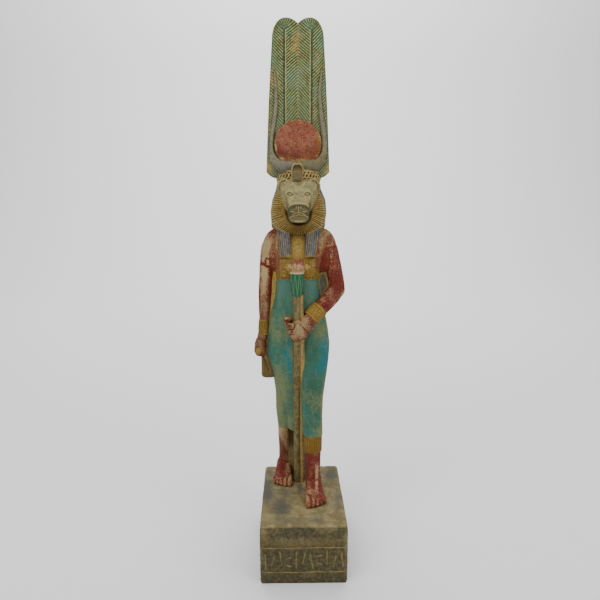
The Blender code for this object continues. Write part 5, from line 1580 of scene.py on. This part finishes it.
def markDress():
    points = getPoints(dressPiece)
    local = toLocal(points)
    x, y, z = local[:, 0], local[:, 1], local[:, 2]
    px, py = inShot(points)
    front = frontShare(dressPiece)
    hem = np.where(x > 3.5, 53.4, 51.3)
    addMark(dressPiece, "teal", np.minimum(199.9 - z, z - hem))
    straps = np.minimum(np.minimum(np.maximum(5.9 - np.abs(x + 11.4), 5.6 - np.abs(x - 11.0)), 223.5 - z), z - 199)
    band = np.minimum(z - 199.9, 208.4 - z)
    chest = np.minimum(np.minimum(7.6 - np.abs(x), z - 219.4), 6.0 - (y + 8))
    gold = np.maximum(np.maximum(np.where(y < 2, straps, -3), band), np.maximum(chest, hem + 0.3 - z))
    addMark(dressPiece, "gold", gold)
    addMark(dressPiece, "goldWear", blots(px, py, ovals["goldWear"]) * front)
    addMark(dressPiece, "paleGold", np.clip(blots(px, py, ovals["paleGold"]) * (np.abs(x) < 9), 0, 1))
    # painted shadow lines under the raised chest bars
    addMark(dressPiece, "barShadowLine", blots(px, py, ovals["barShadowLine"]) * (y < -4))
    addMark(dressPiece, "skin", np.minimum(z - 199, 246 - z))
    addMark(dressPiece, "skinWear", 0.10 + blots(px, py, ovals["chestSkinWear"]) * front)
    wear = blots(px, py, ovals["tealWear"]) * front
    wear += (0.20 * smooth(softNoise(points, 0.016, 15), 0.0, 0.8)
             + 0.12 * smooth(softNoise(points, 0.005, 16), 0.1, 0.8))
    limits = np.interp(z, [52, 88, 117, 137, 171, 199], [20.0, 21.0, 26.5, 28.8, 23.9, 18.9])
    wear += 0.42 * smooth(np.abs(x + 0.2) - limits, -1.2, 1.4) * (1 - blots(px, py, ovals["hipKept"]).clip(0, 1))
    wear -= blots(px, py, ovals["tealKept"]) * front
    addMark(dressPiece, "tealWear", wear)
    addMark(dressPiece, "vivid", blots(px, py, ovals["vivid"]) * (y < 4) - 1.3)
    addMark(dressPiece, "high", smooth(z, 165, 195))
    addMark(dressPiece, "mossy", np.clip(front * blots(px, py, ovals["mossy"]), 0, 1))


def markSkin():
    for piece in (hangingArm, bentArm, advancedLeg, restingLeg):
        points = getPoints(piece)
        px, py = inShot(points)
        front = frontShare(piece)
        wear = 0.03 + 0.16 * smooth(softNoise(points, 0.012, 17), 0.0, 0.9)
        spots = np.zeros(len(points))
        if piece is restingLeg:
            # a tongue of bare stone runs down the shin
            tongue = strokeDistance(px, py, [(282.5, 429), (284.5, 438), (288.0, 449)])
            tongue = tongue - np.interp(py, [428, 436, 452], [5.0, 4.2, 0.8])
            wear += 0.62 * smooth(-tongue, -1.6, 1.4) * (py < 453) * front
        wear += blots(px, py, ovals[piece.name + "Wear"]) * front
        if piece is hangingArm:
            wear += blots(px, py, ovals["hangingArmWearMore"]) * front
            spots = blots(px, py, ovals["hangingArmSpots"]) * front
        wear -= blots(px, py, ovals[piece.name + "Kept"]) * front
        if piece is advancedLeg:
            # this leg kept more of its red all over
            wear -= 0.15
        grime = blots(px, py, ovals.get(piece.name + "Grime", []))
        addMark(piece, "skinWear", wear)
        addMark(piece, "grime", np.clip(grime, 0, 1))
        addMark(piece, "redSpots", spots)


def markHead():
    local = toLocal(getPoints(headPiece))
    x, y, z = local[:, 0], local[:, 1], local[:, 2]
    # the flat front of the muzzle is dark, with a darker line along its top edge
    muzzle = smooth(-y, 26.0, 29.5) * (1 - smooth(z, 267.6 - 0.035 * (x - 0.4) ** 2, 269.0 - 0.035 * (x - 0.4) ** 2))
    muzzle = muzzle * (0.72 + 0.28 * smooth(z, 254.5, 259.5))
    addMark(headPiece, "muzzle", muzzle)
    edge = strokeDistance(x, z, [(-8.0, 265.4), (-5.4, 267.6), (0.4, 268.2), (6.2, 267.6), (8.8, 265.4)])
    mouth = strokeDistance(x, z, [(-8.6, 258.6), (-5.6, 259.2), (0.2, 260.4), (6.2, 259.2), (9.4, 258.8)])
    addMark(headPiece, "darkLine", (np.exp(-(edge / 0.8) ** 2) + 0.7 * np.exp(-(mouth / 0.9) ** 2)) * (y < -24))
    # painted shade down the sides of the face, where the cheeks slope back to the mane
    slope = np.abs(x - 0.4) - np.interp(z, [262, 268, 274, 280, 286], [8.4, 8.6, 10.6, 13.4, 17.0])
    addMark(headPiece, "cheek", np.where(z < 287, slope, -3.0) + 0.8 * softNoise(getPoints(headPiece), 0.004, 44))
    points = getPoints(manePiece)
    local = toLocal(points)
    addMark(manePiece, "fringe", 1 - smooth(local[:, 2], 240, 251))
    shade = (np.exp(-((local[:, 0] - 0.4) / 8.0) ** 2 - ((local[:, 2] - 249.0) / 4.6) ** 2)
             + 0.35 * (1 - smooth(local[:, 2], 241, 252)))
    addMark(manePiece, "chinShade", np.clip(shade, 0, 1))
    points = getPoints(wigPiece)
    local = toLocal(points)
    px, py = inShot(points)
    front = frontShare(wigPiece)
    addMark(wigPiece, "gold", np.where(local[:, 1] < -4, 222.2 - local[:, 2], -3))
    addMark(wigPiece, "blueWear", 0.05 + 0.25 * smooth(softNoise(points, 0.01, 19), 0, 0.8)
            + blots(px, py, ovals["blueWear"]) * front)
    addMark(wigPiece, "deepBlue", blots(px, py, ovals["deepBlue"]))
    addMark(wigPiece, "tealEdge", np.where((local[:, 0] < -20) & (local[:, 2] > 246) & (local[:, 2] < 270), 1.0, -2.0))


def markCrown():
    points = getPoints(sunDisc)
    local = toLocal(points)
    px, py = inShot(points)
    off = np.hypot(local[:, 0], local[:, 2] - crown["discCentre"])
    addMark(sunDisc, "inside", crown["discRadius"] - 0.15 - off + 0.35 * softNoise(points, 0.003, 23))
    addMark(sunDisc, "rimWear", blots(px, py, ovals["discRimWear"]))
    addMark(sunDisc, "lower", blots(px, py, ovals["discLower"]).clip(0, 1))
    addMark(sunDisc, "khaki", blots(px, py, ovals["discKhaki"]).clip(0, 1))
    points = getPoints(cowHorns)
    px, py = inShot(points)
    khaki = smooth(px, 296, 306) * smooth(py, 150, 158) + 0.25 * smooth(px, 300, 320)
    addMark(cowHorns, "khaki", np.clip(khaki, 0, 1))
    addMark(cowHorns, "low", smooth(py, 158, 170) * (1 - 0.3 * smooth(px, 296, 300)))
    local = toLocal(getPoints(browCobra))
    addMark(browCobra, "topShade", smooth(local[:, 2], 297.5, 301.5) * (1 - smooth(local[:, 2], 303.0, 303.8)))
    points = getPoints(plumePiece)
    px, py = inShot(points)
    front = frontShare(plumePiece)
    addMark(plumePiece, "featherWear", 0.04 + 0.20 * smooth(softNoise(points, 0.013, 31), 0.1, 0.8)
            + blots(px, py, ovals["featherWear"]) * front)
    addMark(plumePiece, "faded", smooth(py, 84, 140))
    inset = np.empty(len(points), dtype=np.float32)
    plumePiece.data.attributes["inset"].data.foreach_get("value", inset)
    addMark(plumePiece, "outerEdge", 0.8 - inset)


def markRest():
    points = getPoints(stoneFill)
    local = toLocal(points)
    x, z = local[:, 0], local[:, 2]
    addMark(stoneFill, "gold", np.where((x < -15) & (z > 100), 2.0, np.where(z < 70, -0.4, -1.4)))
    addMark(stoneFill, "shade", smooth(z, 24, 34) * (1 - smooth(z, 64, 70)) * (x < 4) * (x > -16))
    addMark(stoneFill, "settled", (1 - smooth(z, 20, 30)) * (x > -16))
    local = toLocal(getPoints(pillarPiece))
    z = local[:, 2]
    addMark(pillarPiece, "shade", smooth(z, 26, 34) * (1 - smooth(z, 64, 70)) * (getNormals(pillarPiece)[:, 1] < -0.3))
    local = toLocal(getPoints(staffFin))
    addMark(staffFin, "gold", np.full(len(local), 1.0))
    local = toLocal(getPoints(staffPiece))
    centre = -1.2 * (local[:, 2] / 207.6)
    addMark(staffPiece, "goldLine", np.where(local[:, 2] < 186, local[:, 0] - centre - 2.7, -3))
    addMark(staffPiece, "rim", local[:, 2] - 206.3)
    points = getPoints(plinthPiece)
    normals = getNormals(plinthPiece)
    px, py = inShot(points)
    up, ahead = smooth(normals[:, 2], 0.4, 0.8), smooth(-normals[:, 1], 0.4, 0.8)
    high = points[:, 2] * 1000
    khaki = up * 2.4 + ahead * blots(px, py, ovals["plinthKhaki"])
    khaki += (1 - up - ahead) * (0.4 + 1.6 * softNoise(points, 0.03, 33))
    khaki += 0.8 * smooth(high, 51.6, 52.6) * ahead - 1.1
    addMark(plinthPiece, "khaki", khaki)
    grey = up * (blots(px, py, ovals["plinthGrey"]) - 1.0)
    addMark(plinthPiece, "grey", np.where(up > 0.2, grey, -1.5))
    stain = ahead * blots(px, py, ovals["plinthFrontStain"])
    stain += up * blots(px, py, ovals["plinthTopStain"])
    addMark(plinthPiece, "stain", np.clip(stain, 0, 1))


print("painting")
markDress()
markSkin()
markHead()
markCrown()
markRest()
finishes = {
    dressPiece: dressMaterial(), plumePiece: plumeMaterial(),
    plinthPiece: plinthMaterial(), pillarPiece: pillarMaterial(),
    staffPiece: staffMaterial(), headPiece: headMaterial(), manePiece: maneMaterial(), wigPiece: wigMaterial(),
    sunDisc: discMaterial(), cowHorns: hornMaterial(), twistedCap: capMaterial(), browCobra: cobraMaterial(),
}
finishes[cobraHalo] = finishes[twistedCap]
skinPaint, fillPaint = skinMaterial(), fillMaterial()
braceletPaint = goldMaterial("braceletPaint", "ochre", "ochrePale")
ankletPaint = goldMaterial("ankletPaint", "goldDeep", "ochre")
for item in (hangingArm, bentArm, advancedLeg, restingLeg):
    finishes[item] = skinPaint
for item in (hangingBracelet, bentBracelet, rodEnd):
    finishes[item] = braceletPaint
finishes[footBand] = ankletPaint
finishes[clothEnd] = goldMaterial("clothPaint", "shadow", "ochre")
for item in (stoneFill, staffFin):
    finishes[item] = fillPaint
for item in everyPiece:
    item.data.materials.clear()
    item.data.materials.append(finishes[item])
    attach(item, "root")
    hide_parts("statue")


studio = {
    "floor": tint(236, 236, 236), "world": tint(226, 227, 229), "worldStrength": 0.62,
    "floorFront": -2.5, "floorWidth": 9, "coveStart": 1.5, "coveRadius": 1.1, "wall": 3.0, "bends": 16,
    # each softbox as (place, where it points, size, watts)
    "lamps": [((-0.75, -1.0, 1.15), (0, 0, 0.25), 1.0, 13.0), ((0.95, -0.8, 0.85), (0, 0, 0.25), 0.9, 7.0),
              ((0.0, 0.15, 1.6), (0, 0, 0.2), 1.3, 9.0), ((0.0, 1.1, 2.6), (0, 2.6, 1.7), 1.6, 90.0)],
}


def makeStudio():
    deselectAll()
    near = studio["floorFront"]
    bpy.ops.mesh.primitive_plane_add(size=1, location=(0, (near + studio["coveStart"]) / 2, 0))
    floor = bpy.context.object
    bpy.ops.object.mode_set(mode="EDIT")
    bpy.ops.mesh.select_all(action="SELECT")
    bpy.ops.transform.resize(value=(studio["floorWidth"], studio["coveStart"] - near, 1))
    bpy.ops.mesh.select_mode(type="EDGE")
    bpy.ops.mesh.select_all(action="DESELECT")
    bpy.ops.object.mode_set(mode="OBJECT")
    points = getPoints(floor)
    for edge in floor.data.edges:
        edge.select = all(points[i][1] > 0 for i in edge.vertices)
    bpy.ops.object.mode_set(mode="EDIT")
    # the far edge is drawn up in a cove, and then into a wall
    radius, bends = studio["coveRadius"], studio["bends"]
    for i in range(bends):
        low, high = math.pi / 2 * i / bends, math.pi / 2 * (i + 1) / bends
        bpy.ops.mesh.extrude_region_move(TRANSFORM_OT_translate={"value": (
            0, radius * (math.sin(high) - math.sin(low)), radius * (math.cos(low) - math.cos(high)))})
    bpy.ops.mesh.extrude_region_move(TRANSFORM_OT_translate={"value": (0, 0, studio["wall"])})
    bpy.ops.object.mode_set(mode="OBJECT")
    bpy.ops.object.transform_apply(location=True, rotation=True, scale=True)
    bpy.ops.object.shade_smooth()
    floor.name = floor.data.name = "studioFloor"
    material, _, shader = newTree("paleFloor")
    shader.inputs["Base Color"].default_value = studio["floor"]
    shader.inputs["Roughness"].default_value = 0.7
    floor.data.materials.append(material)
    world = bpy.data.worlds.new("studioWorld")
    bpy.context.scene.world = world
    world.use_nodes = True
    back = world.node_tree.nodes["Background"]
    back.inputs["Color"].default_value = studio["world"]
    back.inputs["Strength"].default_value = studio["worldStrength"]
    for i, (place, target, size, power) in enumerate(studio["lamps"]):
        light = bpy.data.lights.new("softbox" + str(i + 1), "AREA")
        light.shape = "SQUARE"
        light.size = size
        light.energy = power
        lamp = bpy.data.objects.new(light.name, light)
        lamp.location = place
        lamp.rotation_euler = (Vector(target) - Vector(place)).to_track_quat("-Z", "Y").to_euler()
        bpy.context.scene.collection.objects.link(lamp)
    lens = bpy.data.cameras.new("studioCamera")
    lens.sensor_width = 36.0
    lens.lens = shot["focal"] / 600 * 36
    lens.clip_start = 0.01
    camera = bpy.data.objects.new("studioCamera", lens)
    camera.location = [c / 1000 for c in shot["place"]]
    camera.rotation_euler = (math.radians(90 - shot["pitch"]), 0, math.radians(-shot["yaw"]))
    bpy.context.scene.collection.objects.link(camera)
    bpy.context.scene.camera = camera


print("studio")
makeStudio()
bpy.context.view_layer.update()
